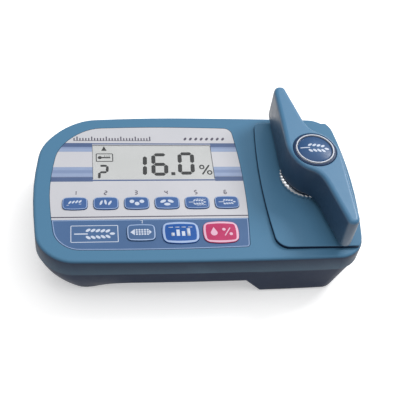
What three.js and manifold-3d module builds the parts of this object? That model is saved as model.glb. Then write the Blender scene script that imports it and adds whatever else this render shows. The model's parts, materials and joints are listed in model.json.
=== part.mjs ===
// Grain moisture meter: a bench-top instrument with a crushing press at its right end.
// Millimetres, +Z up, +X to the right, +Y away from the user, Z = 0 on the table,
// origin under the middle of the case.
import * as THREE from "three";
import { mergeVertices } from "three/addons/utils/BufferGeometryUtils.js";
import Module from "manifold-3d";

const wasm = await Module();
wasm.setup();

// Driving dimensions.
const CASE_X = 108.7; // half length of the case at its bowed ends
const CASE_Y = 63.5; // half depth of the case
const END_BOW = { left: 5, right: 6 };
const SIDE_BOW = 1.6;
const CORNER = { frontLeft: 21, backLeft: 34, right: 14 };
const WALL = 2.5;
const UNDERSIDE = 0.8; // lowest plastic: the feet stand this far proud
const BELLY_Z = 13; // flat underside between the skid and the block
const SEAM_Z = 24.3; // parting line of the two shells
const DECK_Z = 38; // top face
const PLATFORM_Z = 40.5; // raised platform at the press
const SEAM_GAP = 0.1;
const CONTACT_GAP = 0.05;

const LABEL = { left: -98.2, right: 30, front: -54.3, back: 53.3, depth: 0.6, thickness: 0.5 };
const LCD_SEAT = 35.2; // top of the frame that carries the display
const PANE = { thickness: 0.3, gap: 0.15, glassGap: 0.1 };
const WINDOW = { x0: -69.9, x1: 13, y0: 4.4, y1: 35.9 };

const PRESS = { x: 75.5, y: 2 }; // axis of the spindle
const SPINDLE_R = 8;
const HANDLE = { bottom: 44.5, top: 70, halfLength: 61.5, spineX: 18.4, tip: 5 };
const BADGE_R = 14.6;
const COLLAR = { inner: 9.6, outer: 18.8, top: 44.2 };
const CRUSHER = { r: 15, bottom: 18.8 };

const DISH = { bottom: 11.3, top: 18.5, halfWidth: 18.5, wellR: 16, floor: 12.8 };
const SLOT_PLAY = 0.4; // clearance of the dish in its slot

const FRAME = { x0: 58, x1: 93, y0: -26, y1: 30, base: [4.2, 9], bridge: [31, 36.4] };
const PILLAR = { x0: 60, x1: 91, thickness: 6 };
const BOLTS = [PILLAR.x0 + 6, PILLAR.x1 - 6].flatMap((x) => [
  [x, FRAME.y0 + 3],
  [x, FRAME.y1 - 3],
]);
const BUSH = { r: 11.6, flangeR: 14.5, bottom: 31.2, top: 37.8 };

const KEY = { pitch: 20, first: -81.6, y: -16.6, width: 16.3, depth: 10.5 };
const KEY_PADS = [
  ...[0, 1, 2, 3, 4, 5].map((i) => ({
    name: `grain_key_${i + 1}`,
    x: KEY.first + i * KEY.pitch,
    y: KEY.y,
    width: KEY.width,
    depth: KEY.depth,
    color: 0x45659a,
  })),
  { name: "grain_key_7", x: -39.9, y: -40.8, width: 18.4, depth: 13.2, color: 0x4a6494 },
  { name: "average_key", x: -14.6, y: -41.3, width: 22.6, depth: 16, color: 0x1f5ca8 },
  { name: "measure_key", x: 11.5, y: -41.4, width: 22, depth: 16, color: 0xc0406f },
];
const KEY_TOP = 39;
const KEY_BOTTOM = 37.85;
const KEY_STEM = { r: 2, bottom: 37.1 };
const KEY_PLAY = 0.45; // gap round a key in the label
const SWITCH = { half: 3, top: 35.2, plungerR: 1.5, plungerTop: 36.6 };

const BOARD = { x0: -97, x1: 28, y0: -50, y1: 45, z0: 31, z1: 32.6 };
const CELL = { r: 7.1, length: 49.2, pitch: 15, first: -40, count: 4, z: 23.1, y: -13 };
const HOLDER = { x0: -49.6, x1: 14.6, y0: -42.4, y1: 16.4, z0: 15.55, z1: 30.4, wall: 1.5 };
const DOOR = { x0: -47, x1: 12, y0: -39.5, y1: 12.5, z0: 13, z1: 15, gap: 0.4, hingeGap: 2 };
const DOOR_HINGE = { y: 12.9, z: 14, pinR: 0.9, pinLength: 2, socket: 1.3 };

const FEET = [
  [-78, -38],
  [-78, 38],
  [70, -46],
  [70, 46],
];
const FOOT = { r: 6, height: 2.2 };
const CASE_SCREWS = [
  [-52, -54],
  [-52, 54],
  [90, -44.5],
  [90, 47.5],
];
const CASE_SCREW = { headR: 2.8, headZ: 15.6, headHeight: 2.2, shankR: 1.4, top: 32 };

// Solids and booleans.
function toSolid(geometry) {
  const plain = geometry.index ? geometry.toNonIndexed() : geometry.clone();
  const bare = new THREE.BufferGeometry().setAttribute("position", plain.getAttribute("position"));
  const merged = mergeVertices(bare, 1e-4);
  return new wasm.Manifold(
    new wasm.Mesh({
      numProp: 3,
      vertProperties: new Float32Array(merged.attributes.position.array),
      triVerts: new Uint32Array(merged.index.array),
    }),
  );
}

function toGeometry(solid) {
  const { vertProperties, triVerts, numProp } = solid.getMesh();
  const positions = new Float32Array(triVerts.length * 3);
  triVerts.forEach((vertex, i) => {
    for (let k = 0; k < 3; k++) positions[i * 3 + k] = vertProperties[vertex * numProp + k];
  });
  const geometry = new THREE.BufferGeometry();
  geometry.setAttribute("position", new THREE.BufferAttribute(positions, 3));
  geometry.computeVertexNormals();
  return geometry;
}

function join(...geometries) {
  return toGeometry(geometries.map(toSolid).reduce((a, b) => a.add(b)));
}

function cut(base, ...tools) {
  return toGeometry(tools.reduce((solid, tool) => solid.subtract(toSolid(tool)), toSolid(base)));
}

function common(...geometries) {
  return toGeometry(geometries.map(toSolid).reduce((a, b) => a.intersect(b)));
}

// Basic shapes, each placed where it belongs.
function block(x0, x1, y0, y1, z0, z1) {
  return new THREE.BoxGeometry(x1 - x0, y1 - y0, z1 - z0).translate(
    (x0 + x1) / 2,
    (y0 + y1) / 2,
    (z0 + z1) / 2,
  );
}

function rod(r, z0, z1, x, y, sides = 24) {
  return new THREE.CylinderGeometry(r, r, z1 - z0, sides)
    .rotateX(Math.PI / 2)
    .translate(x, y, (z0 + z1) / 2);
}

// A solid of revolution about a vertical axis; the profile is a list of [radius, z], anticlockwise.
function turned(profile, x, y, sides = 32) {
  const points = profile.map(([r, z]) => new THREE.Vector2(r, z));
  const touchesAxis = profile[0][0] === 0 && profile.at(-1)[0] === 0;
  if (!touchesAxis) points.push(points[0].clone());
  return new THREE.LatheGeometry(points, sides).rotateX(Math.PI / 2).translate(x, y, 0);
}

function slab(shape, z0, z1, curveSegments = 6) {
  return new THREE.ExtrudeGeometry(shape, {
    depth: z1 - z0,
    bevelEnabled: false,
    curveSegments,
  }).translate(0, 0, z0);
}

// A profile drawn in X and Z, extruded along Y.
function alongY(shape, y0, y1, curveSegments = 6) {
  return new THREE.ExtrudeGeometry(shape, {
    depth: y1 - y0,
    bevelEnabled: false,
    curveSegments,
  })
    .rotateX(Math.PI / 2)
    .translate(0, y1, 0);
}

// A profile drawn in Y and Z, extruded along X.
function alongX(shape, x0, x1, curveSegments = 6) {
  return new THREE.ExtrudeGeometry(shape, {
    depth: x1 - x0,
    bevelEnabled: false,
    curveSegments,
  })
    .rotateX(Math.PI / 2)
    .rotateZ(Math.PI / 2)
    .translate(x0, 0, 0);
}

// A closed outline with rounded corners and bowed sides. Corners run anticlockwise;
// bow is the outward sagitta of the side that leaves the corner.
function bowedLoop(corners) {
  const HANDLE_FRACTION = 0.5523;
  const points = corners.map(({ x, y }) => new THREE.Vector2(x, y));
  const sides = corners.map((corner, i) => {
    const next = (i + 1) % corners.length;
    const along = points[next].clone().sub(points[i]).normalize();
    const start = points[i].clone().addScaledVector(along, corner.r);
    const end = points[next].clone().addScaledVector(along, -corners[next].r);
    const outward = new THREE.Vector2(along.y, -along.x);
    const middle = start.clone().add(end).multiplyScalar(0.5);
    return { start, end, control: middle.addScaledVector(outward, 2 * corner.bow) };
  });
  const shape = new THREE.Shape();
  shape.moveTo(sides[0].start.x, sides[0].start.y);
  sides.forEach((side, i) => {
    const following = sides[(i + 1) % sides.length];
    shape.quadraticCurveTo(side.control.x, side.control.y, side.end.x, side.end.y);
    const tip = crossing(side.control, side.end, following.control, following.start);
    const leave = side.end.clone().lerp(tip, HANDLE_FRACTION);
    const arrive = following.start.clone().lerp(tip, HANDLE_FRACTION);
    shape.bezierCurveTo(
      leave.x,
      leave.y,
      arrive.x,
      arrive.y,
      following.start.x,
      following.start.y,
    );
  });
  return shape;
}

// Where the line a-b meets the line c-d.
function crossing(a, b, c, d) {
  const ab = b.clone().sub(a);
  const cd = d.clone().sub(c);
  const t = c.clone().sub(a).cross(cd) / ab.cross(cd);
  return a.clone().addScaledVector(ab, t);
}

function bowedRectangle(x0, x1, y0, y1, r, bow) {
  return bowedLoop([
    { x: x0, y: y0, r, bow },
    { x: x1, y: y0, r, bow },
    { x: x1, y: y1, r, bow },
    { x: x0, y: y1, r, bow },
  ]);
}

// Outlines.
function caseOutline(inset) {
  const left = -CASE_X + END_BOW.left + inset;
  const right = CASE_X - END_BOW.right - inset;
  const y = CASE_Y - SIDE_BOW - inset;
  return bowedLoop([
    { x: left, y: -y, r: CORNER.frontLeft - inset, bow: SIDE_BOW },
    { x: right, y: -y, r: CORNER.right - inset, bow: END_BOW.right },
    { x: right, y, r: CORNER.right - inset, bow: SIDE_BOW },
    { x: left, y, r: CORNER.backLeft - inset, bow: END_BOW.left },
  ]);
}

function labelOutline(inset) {
  const left = LABEL.left + 5 + inset;
  const right = LABEL.right - 0.6 - inset;
  return bowedLoop([
    { x: left, y: LABEL.front + 1 + inset, r: 14 - inset, bow: 1 },
    { x: right, y: LABEL.front + 1 + inset, r: 2, bow: 3 },
    { x: right, y: LABEL.back - 1 - inset, r: 5 - inset, bow: 1 },
    { x: left, y: LABEL.back - 1 - inset, r: 27 - inset, bow: 5 },
  ]);
}

function platformOutline() {
  const beyond = CASE_X + 10;
  return bowedLoop([
    { x: 49.2, y: -55.2, r: 8, bow: 0.4 },
    { x: beyond, y: -54.8, r: 1, bow: 0 },
    { x: beyond, y: 55.4, r: 1, bow: 0 },
    { x: 46.4, y: 55.4, r: 4, bow: 3.4 },
  ]);
}

// Side view of the lower shell: a rounded skid at the left, a deep block at the right,
// both ends leaning in towards the table. Insetting it gives the inner face.
function lowerProfile(inset) {
  const low = UNDERSIDE + inset;
  const belly = BELLY_Z + inset;
  const lean = inset * 1.1;
  const top = SEAM_Z + 10;
  const shape = new THREE.Shape();
  shape.moveTo(-CASE_X - 1 + lean, top);
  shape.lineTo(-CASE_X - 1 + lean, SEAM_Z + 2);
  shape.lineTo(-104.6 + lean, 12);
  shape.quadraticCurveTo(-101 + lean, low, -88, low);
  shape.lineTo(-78, low);
  shape.quadraticCurveTo(-68 - lean, low, -60 - lean, 7 + inset);
  shape.quadraticCurveTo(-54 - lean, belly, -46 - lean, belly);
  shape.lineTo(29 + lean, belly);
  shape.lineTo(40 + lean, low);
  shape.lineTo(93 - lean, low);
  shape.quadraticCurveTo(97.4 - lean, low, 98.6 - lean, 4 + inset);
  shape.lineTo(CASE_X - lean, SEAM_Z);
  shape.lineTo(CASE_X - lean, top);
  shape.closePath();
  return shape;
}

// End view of the lower shell's skid: its front and back faces draw in towards the table.
function skidProfile(inset) {
  const shape = new THREE.Shape();
  const top = SEAM_Z + 10;
  const wide = CASE_Y - inset;
  const narrow = 57 - inset;
  shape.moveTo(-narrow, UNDERSIDE - 1);
  shape.lineTo(narrow, UNDERSIDE - 1);
  shape.lineTo(wide, BELLY_Z);
  shape.lineTo(wide, top);
  shape.lineTo(-wide, top);
  shape.lineTo(-wide, BELLY_Z);
  shape.closePath();
  return shape;
}

function lowerBody(inset, top) {
  const split = -40;
  const plan = common(
    slab(caseOutline(inset + 0.5), 0, top),
    alongY(lowerProfile(inset), -CASE_Y, CASE_Y),
  );
  const skid = common(plan, alongX(skidProfile(inset + 0.5), -CASE_X - 2, split));
  const rest = common(plan, block(split, CASE_X + 2, -CASE_Y - 1, CASE_Y + 1, -1, top + 1));
  return join(skid, rest);
}

// Case.
function topCase() {
  const bevel = 1.4;
  const lid = new THREE.ExtrudeGeometry(caseOutline(bevel), {
    depth: 60,
    bevelEnabled: true,
    bevelSize: bevel,
    bevelThickness: bevel,
    bevelSegments: 2,
    curveSegments: 6,
  }).translate(0, 0, DECK_Z - bevel - 60);
  const shell = common(lid, block(-120, 120, -80, 80, SEAM_Z + SEAM_GAP, DECK_Z + 1));
  const platform = common(
    slab(platformOutline(), DECK_Z - WALL, PLATFORM_Z),
    slab(caseOutline(1.2), DECK_Z - WALL, PLATFORM_Z + 1),
  );
  const hollow = slab(caseOutline(WALL), SEAM_Z - 1, DECK_Z - WALL);
  const pressRoom = block(48, 97, -40, 44, SEAM_Z - 1, PLATFORM_Z - WALL);
  const shellWithPlatform = cut(
    join(shell, platform),
    hollow,
    pressRoom,
    slab(labelOutline(0), DECK_Z - LABEL.depth, DECK_Z + 1),
    block(WINDOW.x0, WINDOW.x1, WINDOW.y0, WINDOW.y1, DECK_Z - WALL - 1, DECK_Z + 1),
    rod(COLLAR.inner - 0.4, DECK_Z - 5, PLATFORM_Z + 1, PRESS.x, PRESS.y, 32),
    ...KEY_PADS.map(({ x, y }) => rod(3, DECK_Z - WALL - 1, DECK_Z + 1, x, y, 12)),
  );
  const bosses = CASE_SCREWS.map(([x, y]) => rod(3.6, SEAM_Z + SEAM_GAP, DECK_Z - 1, x, y, 12));
  const pilots = CASE_SCREWS.map(([x, y]) => rod(1.6, SEAM_Z - 1, CASE_SCREW.top + 1, x, y, 10));
  return cut(join(shellWithPlatform, ...bosses), ...pilots);
}

function bottomCase() {
  const bowl = cut(lowerBody(0, SEAM_Z), lowerBody(WALL, SEAM_Z + 5));
  const bosses = CASE_SCREWS.map(([x, y]) =>
    common(rod(4.6, UNDERSIDE, SEAM_Z, x, y, 14), lowerBody(0, SEAM_Z)),
  );
  const holes = CASE_SCREWS.flatMap(([x, y]) => [
    rod(CASE_SCREW.headR + 0.4, -1, CASE_SCREW.headZ + CASE_SCREW.headHeight + 0.1, x, y, 14),
    rod(CASE_SCREW.shankR + 0.3, 0, SEAM_Z + 1, x, y, 10),
  ]);
  const footPockets = FEET.map(([x, y]) =>
    rod(FOOT.r + 0.1, -1, FOOT.height + CONTACT_GAP, x, y, 20),
  );
  const slot = block(
    94,
    CASE_X + 2,
    PRESS.y - DISH.halfWidth - SLOT_PLAY,
    PRESS.y + DISH.halfWidth + SLOT_PLAY,
    DISH.bottom - SLOT_PLAY,
    DISH.top + SLOT_PLAY,
  );
  return cut(join(bowl, ...bosses), ...holes, ...footPockets, slot, doorOpening(), ...hingeSockets());
}

function doorOpening() {
  const { x0, x1, y0, y1, gap, hingeGap } = DOOR;
  return block(x0 - gap, x1 + gap, y0 - gap, y1 + hingeGap, BELLY_Z - 1, BELLY_Z + WALL + 1);
}

function hingeSockets() {
  const { y, z, socket, pinLength } = DOOR_HINGE;
  const reach = pinLength + 0.4;
  return [
    block(DOOR.x0 - reach, DOOR.x0, y - socket, y + socket, z - socket, BELLY_Z + WALL + 1),
    block(DOOR.x1, DOOR.x1 + reach, y - socket, y + socket, z - socket, BELLY_Z + WALL + 1),
  ];
}

function rubberFoot(x, y) {
  const profile = [
    [0, 0],
    [FOOT.r - 0.8, 0],
    [FOOT.r, 0.7],
    [FOOT.r, FOOT.height],
    [0, FOOT.height],
  ];
  return turned(profile, x, y, 20);
}

function caseScrew(x, y) {
  const { headR, headZ, headHeight, shankR, top } = CASE_SCREW;
  const profile = [
    [0, headZ],
    [headR, headZ],
    [headR, headZ + headHeight],
    [shankR, headZ + headHeight],
    [shankR, top - 1],
    [0, top],
  ];
  return turned(profile, x, y, 12);
}

// Label, display and keys.
function keypadOverlay() {
  const film = slab(labelOutline(0.3), labelBottom(), labelBottom() + LABEL.thickness);
  const openings = KEY_PADS.map((pad) => slab(keyOutline(pad, KEY_PLAY), DECK_Z - 2, DECK_Z + 1, 2));
  const { x0, x1, y0, y1 } = WINDOW;
  return cut(film, block(x0, x1, y0, y1, DECK_Z - 2, DECK_Z + 1), ...openings);
}

function labelBottom() {
  return DECK_Z - LABEL.depth + CONTACT_GAP;
}

function keyOutline({ x, y, width, depth }, grow) {
  const bow = 0.6;
  const halfWidth = width / 2 - bow + grow;
  const halfDepth = depth / 2 - bow + grow;
  return bowedRectangle(x - halfWidth, x + halfWidth, y - halfDepth, y + halfDepth, 1.9 + grow, bow);
}

function keyPad(pad) {
  const crown = 0.4;
  const cap = new THREE.ExtrudeGeometry(keyOutline(pad, -crown), {
    depth: 60,
    bevelEnabled: true,
    bevelSize: crown,
    bevelThickness: crown,
    bevelSegments: 1,
    curveSegments: 2,
  }).translate(0, 0, KEY_TOP - crown - 60);
  const body = common(cap, block(pad.x - 20, pad.x + 20, pad.y - 20, pad.y + 20, KEY_BOTTOM, KEY_TOP));
  return join(body, rod(KEY_STEM.r, KEY_STEM.bottom, KEY_BOTTOM + 0.3, pad.x, pad.y, 12));
}

function lcdWindow() {
  const { x0, x1, y0, y1 } = WINDOW;
  const { gap, thickness } = PANE;
  return block(x0 + gap, x1 - gap, y0 + gap, y1 - gap, DECK_Z - 0.1 - thickness, DECK_Z - 0.1);
}

function lcdGlass() {
  const { x0, x1, y0, y1 } = WINDOW;
  const gap = 0.4;
  const top = DECK_Z - 0.1 - PANE.thickness - PANE.glassGap;
  return block(x0 + gap, x1 - gap, y0 + gap, y1 - gap, LCD_SEAT + CONTACT_GAP, top);
}

function lcdFrame() {
  const { x0, x1, y0, y1 } = WINDOW;
  const outer = block(x0 - 1.5, x1 + 1.5, y0 - 1.5, y1 + 1.5, BOARD.z1 + CONTACT_GAP, LCD_SEAT);
  const hole = block(x0 + 1.5, x1 - 1.5, y0 + 0.9, y1 - 0.9, BOARD.z1 - 1, 36);
  return cut(outer, hole);
}

// The circuit board with what is soldered to it: a tact switch under each key and a controller.
function mainBoard() {
  const { x0, x1, y0, y1, z0, z1 } = BOARD;
  const plate = slab(bowedRectangle(x0, x1, y0, y1, 10, 0), z0, z1, 3);
  const switches = KEY_PADS.flatMap(({ x, y }) => [
    block(x - SWITCH.half, x + SWITCH.half, y - SWITCH.half, y + SWITCH.half, z1 - 0.2, SWITCH.top),
    rod(SWITCH.plungerR, SWITCH.top - 0.2, SWITCH.plungerTop, x, y, 10),
  ]);
  const controller = block(-88, -74, 14, 28, z1 - 0.2, z1 + 1.6);
  return join(plate, ...switches, controller);
}

function buzzer() {
  return rod(6, 25.5, BOARD.z0 - CONTACT_GAP, -84, 26, 20);
}

// Batteries.
function batteryHolder() {
  const { x0, x1, y0, y1, z0, z1, wall } = HOLDER;
  const inner = block(x0 + wall, x1 - wall, y0 + wall, y1 - wall, z0 - 1, z1 + 1);
  return cut(block(x0, x1, y0, y1, z0, z1), inner);
}

function batteryContact(y) {
  const thickness = 0.5;
  return block(HOLDER.x0 + 2.5, HOLDER.x1 - 2.5, y, y + thickness, 17.5, 28.5);
}

function batteryCell(index) {
  const { r, length, pitch, first, y, z } = CELL;
  const half = length / 2;
  const profile = [
    [0, -half],
    [r - 0.6, -half],
    [r, -half + 0.6],
    [r, half - 0.6],
    [r - 0.6, half],
    [2.6, half],
    [2.6, half + 1],
    [0, half + 1],
  ];
  const turn = index % 2 ? Math.PI : 0;
  return turned(profile, 0, 0, 18)
    .rotateX(-Math.PI / 2)
    .rotateZ(turn)
    .translate(first + index * pitch, y, z);
}

function batteryDoor() {
  const { x0, x1, y0, y1, z0, z1 } = DOOR;
  const { y, z, pinR, pinLength } = DOOR_HINGE;
  const panel = slab(bowedRectangle(x0, x1, y0, y1, 1.5, 0), z0, z1, 2);
  const knuckles = [x0, x1 - 6].map((x) => block(x, x + 6, y1 - 0.5, y + 0.9, z - 0.9, z + 0.9));
  const pin = new THREE.CylinderGeometry(pinR, pinR, x1 - x0 + 2 * pinLength, 10)
    .rotateZ(Math.PI / 2)
    .translate((x0 + x1) / 2, y, z);
  const fingerGrip = block(-24, -11, y0 + 2.5, y0 + 5, z0 - 1, z0 + 1.1);
  return cut(join(panel, ...knuckles, pin), fingerGrip);
}

// Press.
function pressPlate([z0, z1]) {
  return slab(bowedRectangle(FRAME.x0, FRAME.x1, FRAME.y0, FRAME.y1, 4, 0), z0, z1, 2);
}

function pressPillar(y0) {
  const bar = block(
    PILLAR.x0,
    PILLAR.x1,
    y0,
    y0 + PILLAR.thickness,
    FRAME.base[1] + CONTACT_GAP,
    FRAME.bridge[0] - CONTACT_GAP,
  );
  const holes = BOLTS.map(([x, y]) => rod(1.9, 19, FRAME.bridge[0] + 1, x, y, 10));
  return cut(bar, ...holes);
}

function pressBridge() {
  const holes = BOLTS.map(([x, y]) => rod(1.9, 30, 38, x, y, 10));
  return cut(pressPlate(FRAME.bridge), rod(BUSH.r + 0.1, 30, 38, PRESS.x, PRESS.y, 28), ...holes);
}

function pillarBolt(x, y) {
  const seat = FRAME.bridge[1] + CONTACT_GAP;
  const profile = [
    [0, 20],
    [1.6, 20],
    [1.6, seat],
    [3, seat],
    [3, seat + 1.3],
    [0, seat + 1.3],
  ];
  return turned(profile, x, y, 12);
}

function spindleBush() {
  const seat = FRAME.bridge[1] + CONTACT_GAP;
  const bore = SPINDLE_R + 0.1;
  const profile = [
    [bore, BUSH.bottom],
    [BUSH.r, BUSH.bottom],
    [BUSH.r, seat],
    [BUSH.flangeR, seat],
    [BUSH.flangeR, BUSH.top],
    [bore, BUSH.top],
  ];
  return turned(profile, PRESS.x, PRESS.y, 28);
}

function collarRing() {
  const { inner, outer, top } = COLLAR;
  const bottom = PLATFORM_Z + CONTACT_GAP;
  const profile = [
    [inner, bottom],
    [outer - 0.6, bottom],
    [outer, bottom + 0.6],
    [outer, top - 0.8],
    [outer - 0.8, top],
    [inner, top],
  ];
  return turned(profile, PRESS.x, PRESS.y, 36);
}

function electrodeInsulator() {
  return rod(14, FRAME.base[1] + CONTACT_GAP, 10.1, PRESS.x, PRESS.y, 28);
}

function lowerElectrode() {
  return rod(11.5, 10.15, 10.95, PRESS.x, PRESS.y, 28);
}

function temperatureSensor() {
  return rod(1.6, 12, 22, 53.5, 10, 12);
}

function tube(points, r, steps) {
  const curve = new THREE.CatmullRomCurve3(points.map((p) => new THREE.Vector3(...p)));
  const section = new THREE.Shape().absarc(0, 0, r, 0, 2 * Math.PI, false);
  return new THREE.ExtrudeGeometry(section, {
    steps,
    bevelEnabled: false,
    extrudePath: curve,
    curveSegments: 4,
  });
}

// From the foot of the press to the board, inside the case.
function electrodeLead() {
  const route = [
    [55.8, -6, 6.5],
    [50, -7, 7],
    [45, -10, 14],
    [41, -14, 22],
    [36, -16, 29],
    [31, -16, 31.8],
    [28.4, -16, 31.8],
  ];
  return tube(route, 0.9, 22);
}

function batteryLead() {
  const route = [
    [15, -20, 22],
    [18, -20, 21.5],
    [22, -22, 20.5],
    [25, -26, 22],
    [24, -30, 26],
    [22, -31, 29],
    [22, -31, 30.9],
  ];
  return tube(route, 0.8, 20);
}

// Ram, handle and spindle.
function crushHead() {
  const { r, bottom } = CRUSHER;
  const profile = [
    [0, bottom],
    [r - 1, bottom],
    [r, bottom + 0.6],
    [r, bottom + 3.2],
    [0, bottom + 3.2],
  ];
  return turned(profile, PRESS.x, PRESS.y, 28);
}

function headInsulator() {
  return rod(12.5, CRUSHER.bottom + 3.25, CRUSHER.bottom + 4.4, PRESS.x, PRESS.y, 28);
}

function thrustWasher() {
  return rod(10.5, CRUSHER.bottom + 4.45, CRUSHER.bottom + 5.3, PRESS.x, PRESS.y, 24);
}

function spindle() {
  const bottom = CRUSHER.bottom + 5.4;
  const top = 61.5;
  const profile = [
    [0, bottom],
    [SPINDLE_R - 1, bottom],
    [SPINDLE_R, bottom + 1],
    [SPINDLE_R, top],
    [2.7, top],
    [2.7, 47],
    [0, 47],
  ];
  return turned(profile, PRESS.x, PRESS.y, 24);
}

// Half of the handle's plan, from the tip of the back arm round to the tip of the front arm.
// The other half is the same line turned half a turn about the hub.
function handleOutline() {
  const half = HANDLE.halfLength;
  const { spineX, tip } = HANDLE;
  const shape = new THREE.Shape();
  for (const s of [1, -1]) {
    const go = (x, y) => [s * x, s * y];
    if (s === 1) shape.moveTo(...go(-spineX + tip, half));
    shape.quadraticCurveTo(...go(-spineX, half), ...go(-spineX, half - tip - 2));
    shape.lineTo(...go(-spineX, 7));
    shape.bezierCurveTo(...go(-spineX, -4), ...go(-13, -14), ...go(-5, -17.2));
    shape.bezierCurveTo(...go(0.5, -20), ...go(2, -26), ...go(3.6, -33));
    shape.lineTo(...go(9.8, -half + 2.5));
    shape.quadraticCurveTo(...go(10.6, -half), ...go(spineX - tip, -half));
  }
  return shape;
}

function handle() {
  const bevel = 1.6;
  const { bottom, top } = HANDLE;
  const wing = new THREE.ExtrudeGeometry(handleOutline(), {
    depth: top - bottom - 2 * bevel,
    bevelEnabled: true,
    bevelSize: bevel,
    bevelOffset: -bevel,
    bevelThickness: bevel,
    bevelSegments: 2,
    curveSegments: 6,
  }).translate(PRESS.x, PRESS.y, bottom + bevel);
  return cut(
    wing,
    rod(SPINDLE_R + 0.1, bottom - 1, 61.7, PRESS.x, PRESS.y, 24),
    rod(3, 60, top + 1, PRESS.x, PRESS.y, 16),
    rod(5.4, 64.5, top + 1, PRESS.x, PRESS.y, 20),
    rod(BADGE_R + 0.15, top - 1.6, top + 1, PRESS.x, PRESS.y, 32),
  );
}

function handleScrew() {
  const profile = [
    [0, 49],
    [2.3, 49],
    [2.3, 64.6],
    [4.6, 64.6],
    [4.6, 67.6],
    [0, 67.6],
  ];
  return turned(profile, PRESS.x, PRESS.y, 16);
}

function badgeRing() {
  const bottom = HANDLE.top - 1.55;
  const profile = [
    [12.4, bottom],
    [BADGE_R, bottom],
    [BADGE_R, HANDLE.top + 0.2],
    [13.8, HANDLE.top + 1],
    [12.9, HANDLE.top + 0.9],
    [12.4, HANDLE.top + 0.3],
  ];
  return turned(profile, PRESS.x, PRESS.y, 36);
}

function handleBadge() {
  const top = HANDLE.top;
  const profile = [
    [0, top - 1.5],
    [12.2, top - 1.5],
    [12.2, top + 0.4],
    [9, top + 1.3],
    [5, top + 1.85],
    [0, top + 2],
  ];
  return turned(profile, PRESS.x, PRESS.y, 32);
}

// Sample dish.
function endWallX(z) {
  const foot = { x: 98.6, z: 4 };
  return foot.x + ((CASE_X - foot.x) * (z - foot.z)) / (SEAM_Z - foot.z);
}

function sampleDish() {
  const { bottom, top, halfWidth, wellR, floor } = DISH;
  const frontX = 96;
  const left = PRESS.x - halfWidth;
  const tray = new THREE.Shape();
  tray.moveTo(PRESS.x, PRESS.y + halfWidth);
  tray.absarc(PRESS.x, PRESS.y, halfWidth, Math.PI / 2, (3 * Math.PI) / 2, false);
  tray.lineTo(frontX, PRESS.y - halfWidth);
  tray.lineTo(frontX, PRESS.y + halfWidth);
  tray.closePath();
  const faceInset = 1.6;
  const front = new THREE.Shape();
  front.moveTo(left + 30, bottom);
  front.lineTo(endWallX(bottom) - faceInset, bottom);
  front.lineTo(endWallX(top) - faceInset, top);
  front.lineTo(left + 30, top);
  front.closePath();
  const pull = block(98, 106.6, PRESS.y - 9, PRESS.y + 9, 13.6, 15.4);
  const body = join(
    slab(tray, bottom, top, 12),
    alongY(front, PRESS.y - halfWidth, PRESS.y + halfWidth),
    pull,
  );
  return cut(body, rod(wellR, floor, top + 1, PRESS.x, PRESS.y, 32));
}

function dishInsert() {
  return rod(DISH.wellR - 0.15, DISH.floor + CONTACT_GAP, DISH.floor + 1.05, PRESS.x, PRESS.y, 32);
}

// Assembly.
const FINISH = {
  caseBlue: { color: 0x4f87aa, roughness: 0.5, metalness: 0 },
  labelFilm: { color: 0xd5d3da, roughness: 0.45, metalness: 0 },
  clear: { color: 0xdfe6ea, roughness: 0.08, metalness: 0 },
  display: { color: 0xcfcfcf, roughness: 0.3, metalness: 0 },
  blackPlastic: { color: 0x232529, roughness: 0.6, metalness: 0 },
  board: { color: 0x2d6b3d, roughness: 0.5, metalness: 0 },
  chrome: { color: 0xd9dadc, roughness: 0.12, metalness: 1 },
  steel: { color: 0xa9acb0, roughness: 0.35, metalness: 1 },
  brass: { color: 0xc2a04f, roughness: 0.35, metalness: 1 },
  castIron: { color: 0x5b5e62, roughness: 0.6, metalness: 1 },
  rubber: { color: 0x2a2b2d, roughness: 0.85, metalness: 0 },
  insulator: { color: 0xe6e2d6, roughness: 0.5, metalness: 0 },
  cell: { color: 0x3b3f46, roughness: 0.4, metalness: 0.4 },
  badgeBlue: { color: 0x3a5f9f, roughness: 0.2, metalness: 0 },
  lead: { color: 0x8f2f2a, roughness: 0.6, metalness: 0 },
};

const meter = new THREE.Group();
meter.name = "grain_moisture_meter";

function add(name, geometry, finish) {
  const mesh = new THREE.Mesh(geometry, new THREE.MeshStandardMaterial(finish));
  mesh.name = name;
  meter.add(mesh);
}

add("top_case", topCase(), FINISH.caseBlue);
add("bottom_case", bottomCase(), FINISH.caseBlue);
add("keypad_overlay", keypadOverlay(), FINISH.labelFilm);
add("lcd_window", lcdWindow(), FINISH.clear);
add("lcd_glass", lcdGlass(), FINISH.display);
add("lcd_frame", lcdFrame(), FINISH.blackPlastic);
add("main_board", mainBoard(), FINISH.board);
add("buzzer", buzzer(), FINISH.blackPlastic);
add("battery_holder", batteryHolder(), FINISH.blackPlastic);
add("battery_contact_front", batteryContact(HOLDER.y0 + 1.8), FINISH.steel);
add("battery_contact_back", batteryContact(HOLDER.y1 - 2.3), FINISH.steel);
for (let i = 0; i < CELL.count; i++) add(`battery_cell_${i + 1}`, batteryCell(i), FINISH.cell);
add("battery_lead", batteryLead(), FINISH.lead);
add("battery_door", batteryDoor(), FINISH.caseBlue);

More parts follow.
